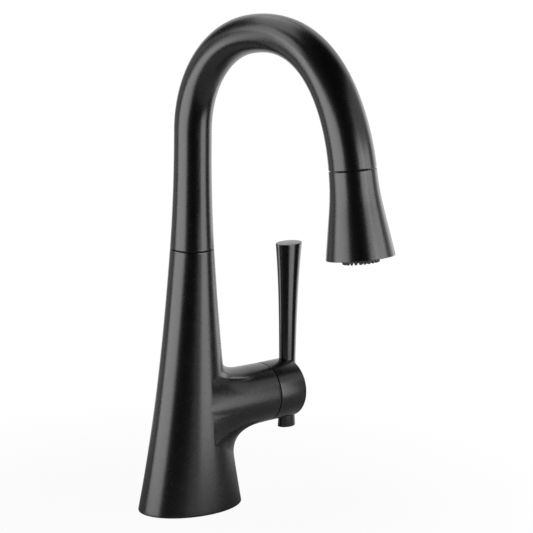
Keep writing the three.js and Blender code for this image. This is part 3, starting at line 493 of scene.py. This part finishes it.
def make_finishes():
    """All finishes, by the record's slots."""
    tone = bpy.context.scene.faucet_colours
    return {
        "matte_black_paint": sprayed_black("sprayed_matte_black", tone.matte_black,
                                           0.25, 0.28, 1.75, 0.004 * MM),
        "satin_black_paint": sprayed_black("sprayed_satin_black", tone.satin_black,
                                           0.19, 0.22, 1.75, 0.002 * MM),
        "black_rubber": moulded("pressed_rubber", tone.rubber, 0.6, 0.8, 0.03 * MM, 2600),
        "nozzle_rubber": moulded("moulded_silicone", tone.silicone, 0.42, 0.6, 0.015 * MM, 3200),
        "white_acetal": moulded("turned_acetal", tone.acetal, 0.35, 0.5, 0.01 * MM, 2200, 0.05),
        "dark_plastic": moulded("moulded_black_plastic", tone.dark_plastic,
                                0.38, 0.55, 0.02 * MM, 4200),
        "cartridge_plastic": moulded("glass_filled_plastic", tone.grey_plastic,
                                     0.4, 0.6, 0.02 * MM, 3600),
        "brass": turned_metal("turned_brass", tone.brass, 0.25, 0.42, (1, 1, 9), 0.01 * MM),
        "steel": turned_metal("brushed_steel", tone.steel, 0.22, 0.4, (1, 1, 12), 0.008 * MM),
        "hose_braid": woven("woven_hose_cover", tone.braid),
    }


FINISHES = {}


def finish(slot):
    """The finish of a slot. All are made when the first one is asked for."""
    if not FINISHES:
        FINISHES.update(make_finishes())
    return FINISHES[slot]


# --- body casting
class BodyForm:
    """The oval foot that draws in to a round neck."""

    def __init__(self, sizes):
        self.sizes = sizes
        self.half_length = -BODY_LOW.x
        self.half_width = BODY_HIGH.y

    def spread(self, z):
        """Share of the foot's spread that is left at a height."""
        t = min(1.0, max(0.0, 1 - z / NECK_HEIGHT))
        plain = self.sizes.straight_share
        return plain * t + (1 - plain) * t ** self.sizes.flare_power

    def halves(self, z):
        """Half length and half width at a height."""
        neck = self.sizes.neck_radius
        share = self.spread(z)
        return neck + (self.half_length - neck) * share, neck + (self.half_width - neck) * share

    def at(self, turn, z, inset=0.0):
        """Point of the body's side at a turn from the handle's side and a height."""
        half_x, half_y = self.halves(z)
        if math.cos(turn) > 0:
            half_x -= self.sizes.handle_trim * self.spread(z)
        return Vector(((half_x - inset) * math.cos(turn), (half_y - inset) * math.sin(turn), z))

    def normal(self, turn, z):
        """Outward normal of the body's side."""
        small = 0.001
        around = self.at(turn + small, z) - self.at(turn - small, z)
        return around.cross(self.at(turn, z + small) - self.at(turn, z - small)).normalized()

    def ring(self, z, inset, sides):
        return [self.at(turn, z, inset) for turn in turns(sides)]

    def seen(self, y, z):
        """Turn and height of the body's point that is seen along the branch at (y, z)."""
        share = y / self.halves(z)[1]
        return math.asin(max(-WIDEST, min(WIDEST, share))), z


WIDEST = 0.998  # share of the body's half width at which a wide blend's end is held
BLEND_SHARE = 0.9  # most of the branch's length that a blend may take


def branch_lines(form, perimeter):
    """One line for each point on the patch's edge: its blend's start on the branch, its corner,
    in the body's tangent plane at the blend's end where that lies near enough, that end with
    its turn and height, and the seam's point."""
    sizes = form.sizes
    seam_x = HUB_END - sizes.edge
    lines = []
    for angle in perimeter:
        across, up = math.sin(angle), math.cos(angle)
        drop, reach = ((sizes.heel_drop, sizes.heel_reach) if up < 0
                       else (sizes.crook_rise, sizes.crook_reach))
        spread = HUB_RADIUS + sizes.branch_taper + sizes.side_spread + drop * up * up
        foot = form.seen(spread * across, HUB_HEIGHT + spread * up)
        end = form.at(*foot)
        seam = Vector((seam_x, HUB_RADIUS * across, HUB_HEIGHT + HUB_RADIUS * up))
        grow = sizes.branch_taper / (seam_x - end.x)
        back = Vector((-1, grow * across, grow * up))
        normal = form.normal(*foot)
        length = sizes.side_reach + (reach - sizes.side_reach) * up * up
        tangent = normal.dot(end - seam) / normal.dot(back)
        corner = seam + back * max(tangent, seam_x - end.x - length)
        start = corner - back * min(length, (seam - corner).length * BLEND_SHARE)
        lines.append((across, up, start, corner, end, foot, seam))
    return lines


PATCH_COLUMNS = 128  # of the body's columns, on the handle's side, round the branch
BODY_COLUMNS = 192
PATCH_ROWS = 64
PATCH_LOW = 14 * MM
PATCH_HIGH = 116 * MM


def body_outside(form):
    """The casting's outside as one welded skin: the body's columns, a patch that opens
    from them on to the branch's root, the blend and the branch."""
    sizes = form.sizes
    shape = Shape()
    bottom, top = BODY_LOW.z, BODY_HIGH.z
    patch_heights = [PATCH_LOW + (PATCH_HIGH - PATCH_LOW) * t for t in steps(PATCH_ROWS)]
    low_end, high_end = bottom + sizes.foot_edge, top - sizes.edge
    below = [low_end + (PATCH_LOW - low_end) * t for t in steps(9)[:-1]]
    above = [PATCH_HIGH + (high_end - PATCH_HIGH) * t for t in steps(40)[1:]]
    rows = [(low_end - sizes.foot_edge * math.cos(a), sizes.foot_edge * (1 - math.sin(a)))
            for a in QUARTER[:-1]]
    rows += [(z, 0.0) for z in below + patch_heights + above]
    rows += [(high_end + sizes.edge * math.sin(a), sizes.edge * (1 - math.cos(a)))
             for a in QUARTER[1:]]
    grid = [shape.ring(form.ring(z, inset, BODY_COLUMNS)) for z, inset in rows]
    first_row = len(QUARTER) - 1 + len(below)
    last_row = first_row + PATCH_ROWS
    half = PATCH_COLUMNS // 2
    for r, (low, high) in enumerate(zip(grid, grid[1:])):
        for i in range(-BODY_COLUMNS // 2, BODY_COLUMNS // 2):
            if not (first_row <= r < last_row and -half <= i < half):
                shape.faces.append((low[i], low[i + 1], high[i + 1], high[i]))
    shape.close(grid[0])
    shape.close(grid[-1])

    # the patch's edge, as (row, column) pairs from the top's middle towards +Y and round
    edge = [(last_row, i) for i in range(0, half)]
    edge += [(r, half) for r in range(last_row, first_row, -1)]
    edge += [(first_row, i) for i in range(half, -half, -1)]
    edge += [(r, -half) for r in range(first_row, last_row)]
    edge += [(last_row, i) for i in range(-half, 0)]
    places = [(2 * math.pi * i / BODY_COLUMNS, rows[r][0]) for r, i in edge]
    lines = branch_lines(form, turns(len(edge)))

    rings = []
    for t in steps(22)[:-1]:  # body's side, from the patch's edge in to the branch's root
        u = 1 - (1 - t) ** 1.3  # rings lie closer together near the root
        rings.append([form.at(turn + (foot[0] - turn) * u, z + (foot[1] - z) * u)
                      for (turn, z), (*_, foot, _) in zip(places, lines)])
    for t in steps(26):  # the blend, a parabola from the body round its corner
        rings.append([end * (1 - t) ** 2 + corner * 2 * t * (1 - t) + start * t * t
                      for _, _, start, corner, end, _, _ in lines])
    straight = HUB_END - sizes.edge
    for t in steps(24)[1:]:  # the branch itself
        rings.append([start.lerp(seam, t) for _, _, start, _, _, _, seam in lines])
    for a in QUARTER[1:]:
        radius = HUB_RADIUS - sizes.edge * (1 - math.cos(a))
        rings.append([Vector((straight + sizes.edge * math.sin(a), radius * across,
                              HUB_HEIGHT + radius * up)) for across, up, *_ in lines])
    patch = [[grid[r][i] for r, i in edge]] + [shape.ring(points) for points in rings[1:]]
    for low, high in zip(patch, patch[1:]):
        shape.bridge(low, high)
    shape.close(patch[-1])
    return shape


class FAUCET_OT_body(bpy.types.Operator):
    """Builds the body casting: foot, column and valve branch in one skin, with its hollows"""
    bl_idname = "faucet.body"
    bl_label = "Body casting"

    def execute(self, context):
        sizes = context.scene.faucet_body
        form = BodyForm(sizes)
        body = piece_of("body_casting", body_outside(form))
        beyond = MM
        cavity = sizes.cavity_height - BODY_LOW.z
        heights = [-beyond] + [BODY_LOW.z + cavity * t for t in steps(24)]
        hollow = Shape().skin([form.ring(z, sizes.wall, 96) for z in heights])
        carve(body, piece_of("hollow", hollow))
        hub_bore = HUB_RADIUS - sizes.hub_wall
        over = NECK_HEIGHT + beyond
        for name, radius, low, high, sides, place in (
                ("valve_bore", hub_bore, 0, HUB_END + beyond, 128, ALONG_HUB),
                ("post_hole", sizes.post_hole, sizes.cavity_height - beyond, over, 64, Matrix()),
                ("neck_bore", sizes.neck_bore, NECK_HEIGHT - sizes.neck_bore_depth, over, 96,
                 Matrix())):
            carve(body, turned(name, [(radius, low), (radius, high)], sides, place=place))
        dress(body, "body", "matte_black_paint", "body_shell")
        return {"FINISHED"}


# --- spout
def ease_in(share, start):
    """A straight line from 0 to 1 that eases in, as a parabola, over its first share."""
    u = min(1.0, max(0.0, share))
    return (u * u / (2 * start) if u < start else u - start / 2) / (1 - start / 2)


class SpoutForm:
    """The gooseneck's centre line and radius, by the distance from the neck seam."""

    def __init__(self, sizes):
        self.sizes = sizes
        self.top = NECK_HEIGHT + sizes.leg
        self.arc = sizes.bend_radius * sizes.bend_turn
        self.outlet = Vector((0, -2 * sizes.bend_radius - sizes.spread, self.top - sizes.drop))
        self.axis = Vector((0, -math.sin(sizes.lean), -math.cos(sizes.lean)))
        begin, heading = self.on_arc(sizes.bend_turn)
        self.knots = (begin, begin + heading * sizes.bend_ease,
                      self.outlet - self.axis * sizes.outlet_ease, self.outlet)
        self.spans = [0.0]  # distance along the last curve at even steps of its own measure
        before = begin
        for t in steps(600)[1:]:
            here = self.on_curve(t)[0]
            self.spans.append(self.spans[-1] + (here - before).length)
            before = here
        self.length = sizes.leg + self.arc + self.spans[-1]
        self.apex = sizes.leg + sizes.bend_radius * math.pi / 2

    def on_arc(self, turn):
        radius = self.sizes.bend_radius
        return (Vector((0, -radius * (1 - math.cos(turn)), self.top + radius * math.sin(turn))),
                Vector((0, -math.sin(turn), math.cos(turn))))

    def on_curve(self, t):
        a, b, c, d = self.knots
        point = a * (1 - t) ** 3 + b * 3 * t * (1 - t) ** 2 + c * 3 * t * t * (1 - t) + d * t ** 3
        along = (b - a) * (1 - t) ** 2 + (c - b) * 2 * t * (1 - t) + (d - c) * t * t
        return point, along.normalized()

    def at(self, length):
        """Centre and direction."""
        sizes = self.sizes
        if length <= sizes.leg:
            return Vector((0, 0, NECK_HEIGHT + length)), Vector((0, 0, 1))
        if length <= sizes.leg + self.arc:
            return self.on_arc((length - sizes.leg) / sizes.bend_radius)
        left = min(length - sizes.leg - self.arc, self.spans[-1])
        high = max(1, bisect.bisect_left(self.spans, left))
        share = (left - self.spans[high - 1]) / (self.spans[high] - self.spans[high - 1])
        return self.on_curve((high - 1 + share) / (len(self.spans) - 1))

    def radius(self, length):
        sizes = self.sizes
        taper = max(0.0, 1 - length / sizes.foot_taper) ** sizes.foot_taper_power
        swell = ease_in((length - self.apex) / (self.length - self.apex), sizes.swell_start)
        return (sizes.radius + (sizes.foot_radius - sizes.radius) * taper
                + (sizes.outlet_radius - sizes.radius) * swell)

    def ring(self, length, radius, sides):
        centre, forward = self.at(length)
        out = forward.cross(X_AXIS)
        return [centre + X_AXIS * (radius * math.cos(a)) + out * (radius * math.sin(a))
                for a in turns(sides)]


def head_place(sizes):
    """The spray head's own frame: z = 0 on its seam, +z up into the spout."""
    return Matrix.Translation(SpoutForm(sizes).outlet) @ Matrix.Rotation(-sizes.lean, 4, "X")


class FAUCET_OT_spout(bpy.types.Operator):
    """Builds the gooseneck tube with its bore"""
    bl_idname = "faucet.spout"
    bl_label = "Spout"

    def execute(self, context):
        sizes = context.scene.faucet_spout
        neck_bore = context.scene.faucet_body.neck_bore
        form = SpoutForm(sizes)
        first, last = SEAM / 2, form.length - SEAM / 2
        edge = sizes.edge
        low, high = first + edge, last - edge
        # the outside as (length, radius) pairs from the neck's seam, then back along the bore
        walk = [(first + edge * (1 - math.cos(a)), form.radius(first) - edge * (1 - math.sin(a)))
                for a in QUARTER[:-1]]
        walk += [(length, form.radius(length)) for length in
                 (low + (high - low) * t for t in steps(240))]
        walk += [(high + edge * math.sin(a), form.radius(high) - edge * (1 - math.cos(a)))
                 for a in QUARTER[1:]]
        bore, seat = sizes.radius - sizes.wall, first + sizes.counterbore
        for length in (last + (sizes.leg - last) * t for t in steps(80)):
            walk.append((length, max(bore, form.radius(length) - sizes.wall)))
        walk += [(seat, bore), (seat, neck_bore), (first, neck_bore)]
        rings = [form.ring(length, radius, 96) for length, radius in walk]
        tube = piece_of("gooseneck_tube", Shape().skin(rings, looped=True))
        dress(tube, "spout", "matte_black_paint", "spout_tube")
        return {"FINISHED"}


# --- spray head
def head_radius(sizes, drop):
    """Outer radius of the shell at a distance below its seam."""
    flare = ease_in(drop / sizes.length, sizes.flare_start)
    return sizes.top_radius + (sizes.rim_radius - sizes.top_radius) * flare


def button_prism(sizes, grow, low, high, place, segments=24):
    """Pad outline with round ends, drawn out along local +Y."""
    half = sizes.button_width / 2 + grow
    tall = sizes.button_height / 2 + grow - half
    outline = []
    for side, middle in ((0, tall), (1, -tall)):
        for a in (math.pi * (side + t) for t in steps(segments)):
            outline.append((half * math.cos(a), middle + half * math.sin(a)))
    rings = [[Vector((x, y, z - sizes.button_drop)) for x, z in outline] for y in (low, high)]
    return piece_of("pad_outline", Shape().skin(rings), place)


class FAUCET_OT_spray_head(bpy.types.Operator):
    """Builds the flared spray shell and the mode button on its back"""
    bl_idname = "faucet.spray_head"
    bl_label = "Spray head"

    def execute(self, context):
        sizes = context.scene.faucet_head
        place = head_place(context.scene.faucet_spout)
        edge = sizes.edge
        low, high = SEAM / 2 + edge, sizes.length - edge
        outer = [low + (high - low) * t for t in steps(48)[1:-1]]
        inner = [sizes.length * (1 - t) for t in steps(24)[1:-1]]
        rim, top = sizes.rim_radius, sizes.top_radius
        profile = [(top, -SEAM / 2, edge * 0.9)]
        profile += [(head_radius(sizes, drop), -drop, 0) for drop in outer]
        profile += [(rim, -sizes.length, edge), (rim - sizes.wall, -sizes.length, edge * 0.8)]
        profile += [(head_radius(sizes, drop) - sizes.wall, -drop, 0) for drop in inner]
        profile += [(top - sizes.wall, -SEAM / 2, edge * 0.5)]
        shell = turned("spray_head_shell", softened(profile, closed=True), 160, True, place)
        button_floor = head_radius(sizes, sizes.button_drop) - sizes.button_depth
        carve(shell, button_prism(sizes, CLEAR, button_floor, 2 * sizes.rim_radius, place))
        dress(shell, "spray_head", "matte_black_paint", "spray_shell")

        drops = [sizes.button_drop + sizes.button_height * (1 - 2 * t) for t in steps(16)]
        proud = [(head_radius(sizes, drop) + sizes.button_proud, -drop) for drop in drops]
        button = button_prism(sizes, 0, button_floor, 2 * sizes.rim_radius, place)
        carve(button, turned("button_face", proud, 256, place=place), "INTERSECT")
        soft = button.modifiers.new("edge", "BEVEL")
        soft.width = 0.5 * MM
        soft.segments = 3
        soft.limit_method = "ANGLE"
        soft.angle_limit = math.radians(50)
        bake(button)
        dress(button, "button", "matte_black_paint", "mode_button")
        return {"FINISHED"}


def nozzle_rows():
    """Node tree that sets a nozzle on two circles of points and joins them to the face."""
    nodes = Nodes(bpy.data.node_groups.new("nozzle_rows", "GeometryNodeTree"))
    tree, node = nodes.tree, nodes.node
    sockets = {}
    for name, kind in (("Face", "Geometry"), ("Nozzle", "Object"), ("Level", "Float"),
                       ("Finish", "Material"), ("Outer Radius", "Float"), ("Outer Count", "Int"),
                       ("Inner Radius", "Float"), ("Inner Count", "Int")):
        made = tree.interface.new_socket(name=name, in_out="INPUT", socket_type="NodeSocket" + kind)
        sockets[name] = made.identifier
    tree.interface.new_socket(name="Geometry", in_out="OUTPUT", socket_type="NodeSocketGeometry")
    given = node("NodeGroupInput").outputs
    nozzle = node("GeometryNodeObjectInfo", given["Nozzle"]).outputs["Geometry"]
    level = node("ShaderNodeCombineXYZ", None, None, given["Level"]).outputs[0]
    joined = node("GeometryNodeJoinGeometry", given["Face"])
    for row in ("Outer", "Inner"):
        spots = node("GeometryNodeMeshCircle", given[row + " Count"], given[row + " Radius"])
        lowered = node("GeometryNodeTransform", spots.outputs[0], level)
        nozzles = node("GeometryNodeInstanceOnPoints", lowered.outputs[0], None, nozzle)
        tree.links.new(nozzles.outputs[0], joined.inputs[0])
    real = node("GeometryNodeRealizeInstances", joined.outputs[0])
    node("NodeGroupOutput", node("GeometryNodeSetMaterial", real.outputs[0], None,
                                 given["Finish"]).outputs[0])
    return tree, sockets


class FAUCET_OT_spray_face(bpy.types.Operator):
    """Builds the rubber face with its two rows of nozzles, and the ring that holds it"""
    bl_idname = "faucet.spray_face"
    bl_label = "Spray face"

    def execute(self, context):
        sizes = context.scene.faucet_head
        place = head_place(context.scene.faucet_spout)
        face = -sizes.length - sizes.face_drop
        back, inner = face + sizes.face_thick, sizes.aerator_radius + CLEAR
        soft, dip = 0.5 * MM, 0.35 * MM
        profile = [(inner, face, soft), (inner, back, 0), (sizes.face_radius, back, 0),
                   (sizes.face_radius, face, soft)]
        gap = (sizes.outer_row + sizes.inner_row) / 2  # a shallow groove between the rows
        profile += [(gap + soft, face, 0), (gap, face + dip, 0), (gap - soft, face, 0)]
        plate = turned("rubber_face", softened(profile, closed=True), 144, True)

        root, tip = sizes.nozzle_radius, sizes.nozzle_radius * sizes.nozzle_tip
        hole, sunk = tip * 0.45, 0.4 * MM
        outline = [(0, sunk, 0), (root, sunk, 0), (root, -sunk / 2, 0),
                   (tip, -sizes.nozzle_length, 0.25 * MM), (hole, -sizes.nozzle_length, 0.1 * MM),
                   (hole, -sizes.nozzle_length / 2, 0), (0, -sizes.nozzle_length / 2, 0)]
        nozzle = turned("nozzle", softened(outline, segments=2), 16)

        tree, sockets = nozzle_rows()
        rows = plate.modifiers.new("nozzle_rows", "NODES")
        rows.node_group = tree
        values = {"Nozzle": nozzle, "Level": face, "Finish": finish("nozzle_rubber"),
                  "Outer Radius": sizes.outer_row, "Outer Count": sizes.outer_count,
                  "Inner Radius": sizes.inner_row, "Inner Count": sizes.inner_count}
        for name, value in values.items():
            rows[sockets[name]] = value
        bake(plate)
        bpy.data.objects.remove(nozzle)
        plate.data.transform(place)
        dress(plate, "spray_head", "nozzle_rubber", "spray_face")

        low = -sizes.length + sizes.ring_recess
        high = low + sizes.ring_height
        bore = [head_radius(sizes, -z) - sizes.wall - CLEAR for z in (low, high)]
        seat = sizes.face_radius + CLEAR
        profile = [(seat, low, soft), (seat, high, 0), (bore[1], high, 0), (bore[0], low, soft),
                   ((seat + bore[0]) / 2, low + dip, soft)]
        held = turned("face_ring", softened(profile, closed=True), 144, True, place)
        dress(held, "spray_head", "dark_plastic", "face_ring")
        return {"FINISHED"}


# --- handle
def lever_profile(sizes, grow=0.0):
    """Profile of the lever from the stub's end to the flat top, about its own axis."""
    waist, rise, drop = HUB_RADIUS, sizes.rise, sizes.drop
    swell = sizes.top_radius - sizes.waist
    grip = []
    for t in steps(60):
        share = sizes.taper * t + (1 - sizes.taper) * t ** 3
        grip.append((sizes.waist + swell * share + grow, waist + (rise - waist) * t, 0))
    top_radius = grip[-1][0]
    profile = [(0, -drop - grow, 0), (sizes.stub_radius + grow, -drop - grow, sizes.edge),
               (sizes.waist + grow, -waist, 0)] + grip[:-1]
    profile += [(top_radius, rise + grow, sizes.edge * 0.6), (0, rise + grow, 0)]
    return softened(profile)


def lever_shape(sizes, grow=0.0):
    """The lever's oval section, drawn out along X, at each height of its profile."""
    stretch = math.sqrt(sizes.oval)
    return Shape().skin([[Vector((p.x * stretch, p.y / stretch, p.z))
                          for p in circle(max(radius, 1e-6), height, 96)]
                         for radius, height in lever_profile(sizes, grow)])


class FAUCET_OT_handle(bpy.types.Operator):
    """Builds the handle's domed cap and the tapered lever that runs through it"""
    bl_idname = "faucet.handle"
    bl_label = "Handle"

    def execute(self, context):
        sizes = context.scene.faucet_handle
        start = HUB_LOW.x
        rim = start - SEAM / 2 + sizes.cap_length
        edge = sizes.cap_edge
        ball = (HUB_RADIUS ** 2 + sizes.cap_crown ** 2) / (2 * sizes.cap_crown)
        crown = [(radius, rim + sizes.cap_crown - ball + math.sqrt(ball ** 2 - radius ** 2), 0)
                 for radius in (HUB_RADIUS * (1 - t) for t in steps(24)[1:])]
        hollow_end = start + sizes.cap_hollow
        inner = HUB_RADIUS - sizes.cap_wall
        boss_front = hollow_end - sizes.boss_length
        profile = [(0, boss_front, 0), (sizes.boss_radius, boss_front, edge),
                   (sizes.boss_radius, hollow_end, 0), (inner, hollow_end, edge),
                   (inner, start, edge / 2), (HUB_RADIUS, start, edge), (HUB_RADIUS, rim, edge)]
        cap = turned("handle_cap", softened(profile + crown), 192, place=ALONG_HUB)
        lever_place = Matrix.Translation((LEVER_X, 0, HUB_HEIGHT))
        carve(cap, piece_of("lever_bore", lever_shape(sizes, CLEAR), lever_place))
        hole = [(sizes.set_screw_hole, 0), (sizes.set_screw_hole, HUB_RADIUS + MM)]
        along_y = (Matrix.Translation((hollow_end - sizes.boss_length / 2, 0, HUB_HEIGHT))
                   @ Matrix.Rotation(-math.pi / 2, 4, "X"))
        carve(cap, turned("set_screw_bore", hole, 48, place=along_y))
        stem_low, stem_high = node_box("handle_stem")
        seat = Vector((CLEAR, CLEAR, CLEAR))
        carve(cap, block("stem_socket", stem_low - seat, stem_high + seat))
        dress(cap, "handle", "matte_black_paint", "handle_hub")

        lever = piece_of("lever", lever_shape(sizes), lever_place)
        dress(lever, "handle", "satin_black_paint", "handle_lever")
        return {"FINISHED"}


# --- what keeps its CAD shape
class FAUCET_OT_fittings(bpy.types.Operator):
    """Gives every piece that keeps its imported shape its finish"""
    bl_idname = "faucet.fittings"
    bl_label = "Fittings"

    def execute(self, context):
        for row in frame["record"]["subparts"]:
            node = frame["nodes"][row["node"]]
            material = finish(row["material_slot"])
            for slot in node.material_slots:
                slot.material = material
            if not node.material_slots:
                node.data.materials.append(material)
        return {"FINISHED"}


# --- studio
def direction(azimuth, elevation):
    """Unit vector towards an azimuth, counted from -Y, and an elevation."""
    flat = math.cos(elevation)
    return Vector((math.sin(azimuth) * flat, -math.cos(azimuth) * flat, math.sin(elevation)))


CAMERA_PLACE = Vector((-1430.746, -1672.197, 669.295)) * MM
LAMP_TARGET = Vector((0, -0.03, 0.16))  # the middle of the faucet
# Lamps in degrees as seen from the target: turn from the camera, elevation, width and height,
# then radiance (what a mirror would show) and distance in metres.
LAMPS = (
    ("left_softbox", -66, -7, 60, 46, 2.7, 2.4),
    ("left_upper", -90, 29, 30, 26, 1.9, 1.3),
    ("left_edge", -122, -7, 26, 46, 0.45, 1.3),
    ("top_softbox", -135, 58, 50, 32, 1.25, 1.3),
    ("right_softbox", 70, 0, 34, 44, 2.4, 0.55),
    ("right_front", 46, 10, 24, 26, 2.6, 1.3),
    ("right_upper", 78, 31, 56, 26, 0.6, 1.3),
    ("back_right", 137, -7, 26, 46, 0.9, 1.3),
)


def camera_matrix(settings):
    """The camera's place and turn, with its roll."""
    back = direction(settings.azimuth, settings.elevation)
    right = Vector((math.cos(settings.azimuth), math.sin(settings.azimuth), 0))
    down = (-back).cross(right)
    turned_right = right * math.cos(settings.roll) + down * math.sin(settings.roll)
    turned_down = down * math.cos(settings.roll) - right * math.sin(settings.roll)
    columns = Matrix((turned_right, -turned_down, back)).transposed()
    return Matrix.Translation(CAMERA_PLACE) @ columns.to_4x4()


def softbox(name, azimuth, elevation, wide, tall, radiance, distance):
    """A rectangular lamp that faces the target."""
    lamp = bpy.data.lights.new(name, "AREA")
    lamp.shape = "RECTANGLE"
    lamp.size = 2 * distance * math.tan(math.radians(wide) / 2)
    lamp.size_y = 2 * distance * math.tan(math.radians(tall) / 2)
    lamp.energy = radiance * math.pi * lamp.size * lamp.size_y
    holder = bpy.data.objects.new(name, lamp)
    away = direction(azimuth, math.radians(elevation))
    holder.location = LAMP_TARGET + away * distance
    holder.rotation_euler = away.to_track_quat("Z", "Y").to_euler()
    holder.visible_camera = False
    bpy.context.scene.collection.objects.link(holder)


class StudioNodes(Nodes):
    """Nodes of the floor's and the room's shaders."""

    def combined(self, operation, *values):
        return self.node("ShaderNodeMath", *values, operation=operation).outputs[0]

    def rise(self, value, low, high):
        """Smooth step from 0 at one value to 1 at another."""
        return self.node("ShaderNodeMapRange", value, low, high,
                         interpolation_type="SMOOTHSTEP").outputs[0]

    def backdrop(self, place, behind, low, high):
        """Share of the backdrop at a place or in a direction of the studio."""
        along = self.node("ShaderNodeVectorMath", place, behind, operation="DOT_PRODUCT")
        return self.rise(along.outputs["Value"], low, high)

    def seen_white(self, plain, share, mirrored):
        """Camera and transmission rays see so much of the surface as white, and glossy rays
        the other share."""
        path = self.node("ShaderNodeLightPath").outputs
        through = self.combined("MAXIMUM", path["Is Camera Ray"], path["Is Transmission Ray"])
        direct = self.combined("MULTIPLY", through, share)
        glossy = self.combined("MULTIPLY", path["Is Glossy Ray"], mirrored)
        amount = self.combined("MAXIMUM", direct, glossy)
        white = self.node("ShaderNodeEmission").outputs[0]
        return self.node("ShaderNodeMixShader", amount, plain, white).outputs[0]


class FAUCET_OT_studio(bpy.types.Operator):
    """Sets up the pale floor, the white surroundings, the soft lamps and the camera"""
    bl_idname = "faucet.studio"
    bl_label = "Studio"

    def execute(self, context):
        scene = context.scene
        settings = scene.faucet_studio
        scene.view_settings.view_transform = "Standard"

        camera = bpy.data.cameras.new("photo_camera")
        camera.sensor_width = 36
        camera.lens = settings.lens
        camera.clip_start, camera.clip_end = 0.05, 20
        holder = bpy.data.objects.new("photo_camera", camera)
        scene.collection.objects.link(holder)
        holder.matrix_world = camera_matrix(settings)
        scene.camera = holder

        disc = Shape()
        disc.close(disc.ring(circle(settings.floor_radius, 0, 96)))
        floor = piece_of("pale_floor", disc)
        # the pale backdrop stands behind the faucet, so glossy rays see it there only
        behind = tuple(direction(settings.azimuth + settings.backdrop, 0))
        pale = bpy.data.materials.new("pale_floor")
        pale.use_nodes = True
        shade = StudioNodes(pale.node_tree)
        matte = shade.node("ShaderNodeBsdfDiffuse", (0.6, 0.6, 0.6, 1)).outputs[0]
        place = shade.node("ShaderNodeTexCoord").outputs["Object"]
        middle = shade.node("ShaderNodeVectorMath", place, operation="LENGTH").outputs["Value"]
        rim = shade.rise(middle, settings.floor_radius * 0.3, settings.floor_radius * 0.95)
        share = shade.node("ShaderNodeMapRange", rim, 0.0, 1.0, settings.floor_white, 1.0)
        mirrored = shade.backdrop(place, behind, 0.1, 0.28)
        shade.node("ShaderNodeOutputMaterial",
                   shade.seen_white(matte, share.outputs[0], mirrored))
        floor.data.materials.append(pale)

        world = bpy.data.worlds.new("studio")
        world.use_nodes = True
        scene.world = world
        shade = StudioNodes(world.node_tree)
        dim = shade.node("ShaderNodeBackground", None, settings.dim).outputs[0]
        towards = shade.node("ShaderNodeTexCoord").outputs["Generated"]
        mirrored = shade.backdrop(towards, behind, 0.5, 0.82)
        shade.node("ShaderNodeOutputWorld", shade.seen_white(dim, 1.0, mirrored))

        for name, turn, *rest in LAMPS:
            softbox(name, settings.azimuth + math.radians(turn), *rest)
        return {"FINISHED"}


# --- add-on
class FAUCET_PT_sidebar(bpy.types.Panel):
    """Lists the faucet's pieces and their sizes"""
    bl_idname = "FAUCET_PT_sidebar"
    bl_label = "Bar faucet"
    bl_space_type = "VIEW_3D"
    bl_region_type = "UI"
    bl_category = "Faucet"

    def draw(self, context):
        for operator, group in SECTIONS:
            box = self.layout.box()
            box.operator(operator)
            settings = getattr(context.scene, group)
            for name in settings.bl_rna.properties.keys():
                if name not in ("rna_type", "name"):
                    box.prop(settings, name)


SECTIONS = (("faucet.studio", "faucet_studio"), ("faucet.fittings", "faucet_colours"),
            ("faucet.body", "faucet_body"), ("faucet.spout", "faucet_spout"),
            ("faucet.spray_head", "faucet_head"), ("faucet.spray_face", "faucet_head"),
            ("faucet.handle", "faucet_handle"))
GROUPS = {"faucet_body": BodySizes, "faucet_spout": SpoutSizes, "faucet_head": HeadSizes,
          "faucet_handle": HandleSizes, "faucet_colours": FinishColours,
          "faucet_studio": StudioSettings}
OPERATORS = (FAUCET_OT_studio, FAUCET_OT_fittings, FAUCET_OT_body, FAUCET_OT_spout,
             FAUCET_OT_spray_head, FAUCET_OT_spray_face, FAUCET_OT_handle)


def register():
    for made in (*GROUPS.values(), *OPERATORS, FAUCET_PT_sidebar):
        bpy.utils.register_class(made)
    for name, group in GROUPS.items():
        setattr(bpy.types.Scene, name, PointerProperty(type=group))


def unregister():
    for name in GROUPS:
        delattr(bpy.types.Scene, name)
    for made in (FAUCET_PT_sidebar, *reversed(OPERATORS), *GROUPS.values()):
        bpy.utils.unregister_class(made)


def main():
    register()
    for operator, _ in SECTIONS:
        space, name = operator.split(".")
        getattr(getattr(bpy.ops, space), name)()


if __name__ == "__main__":
    main()
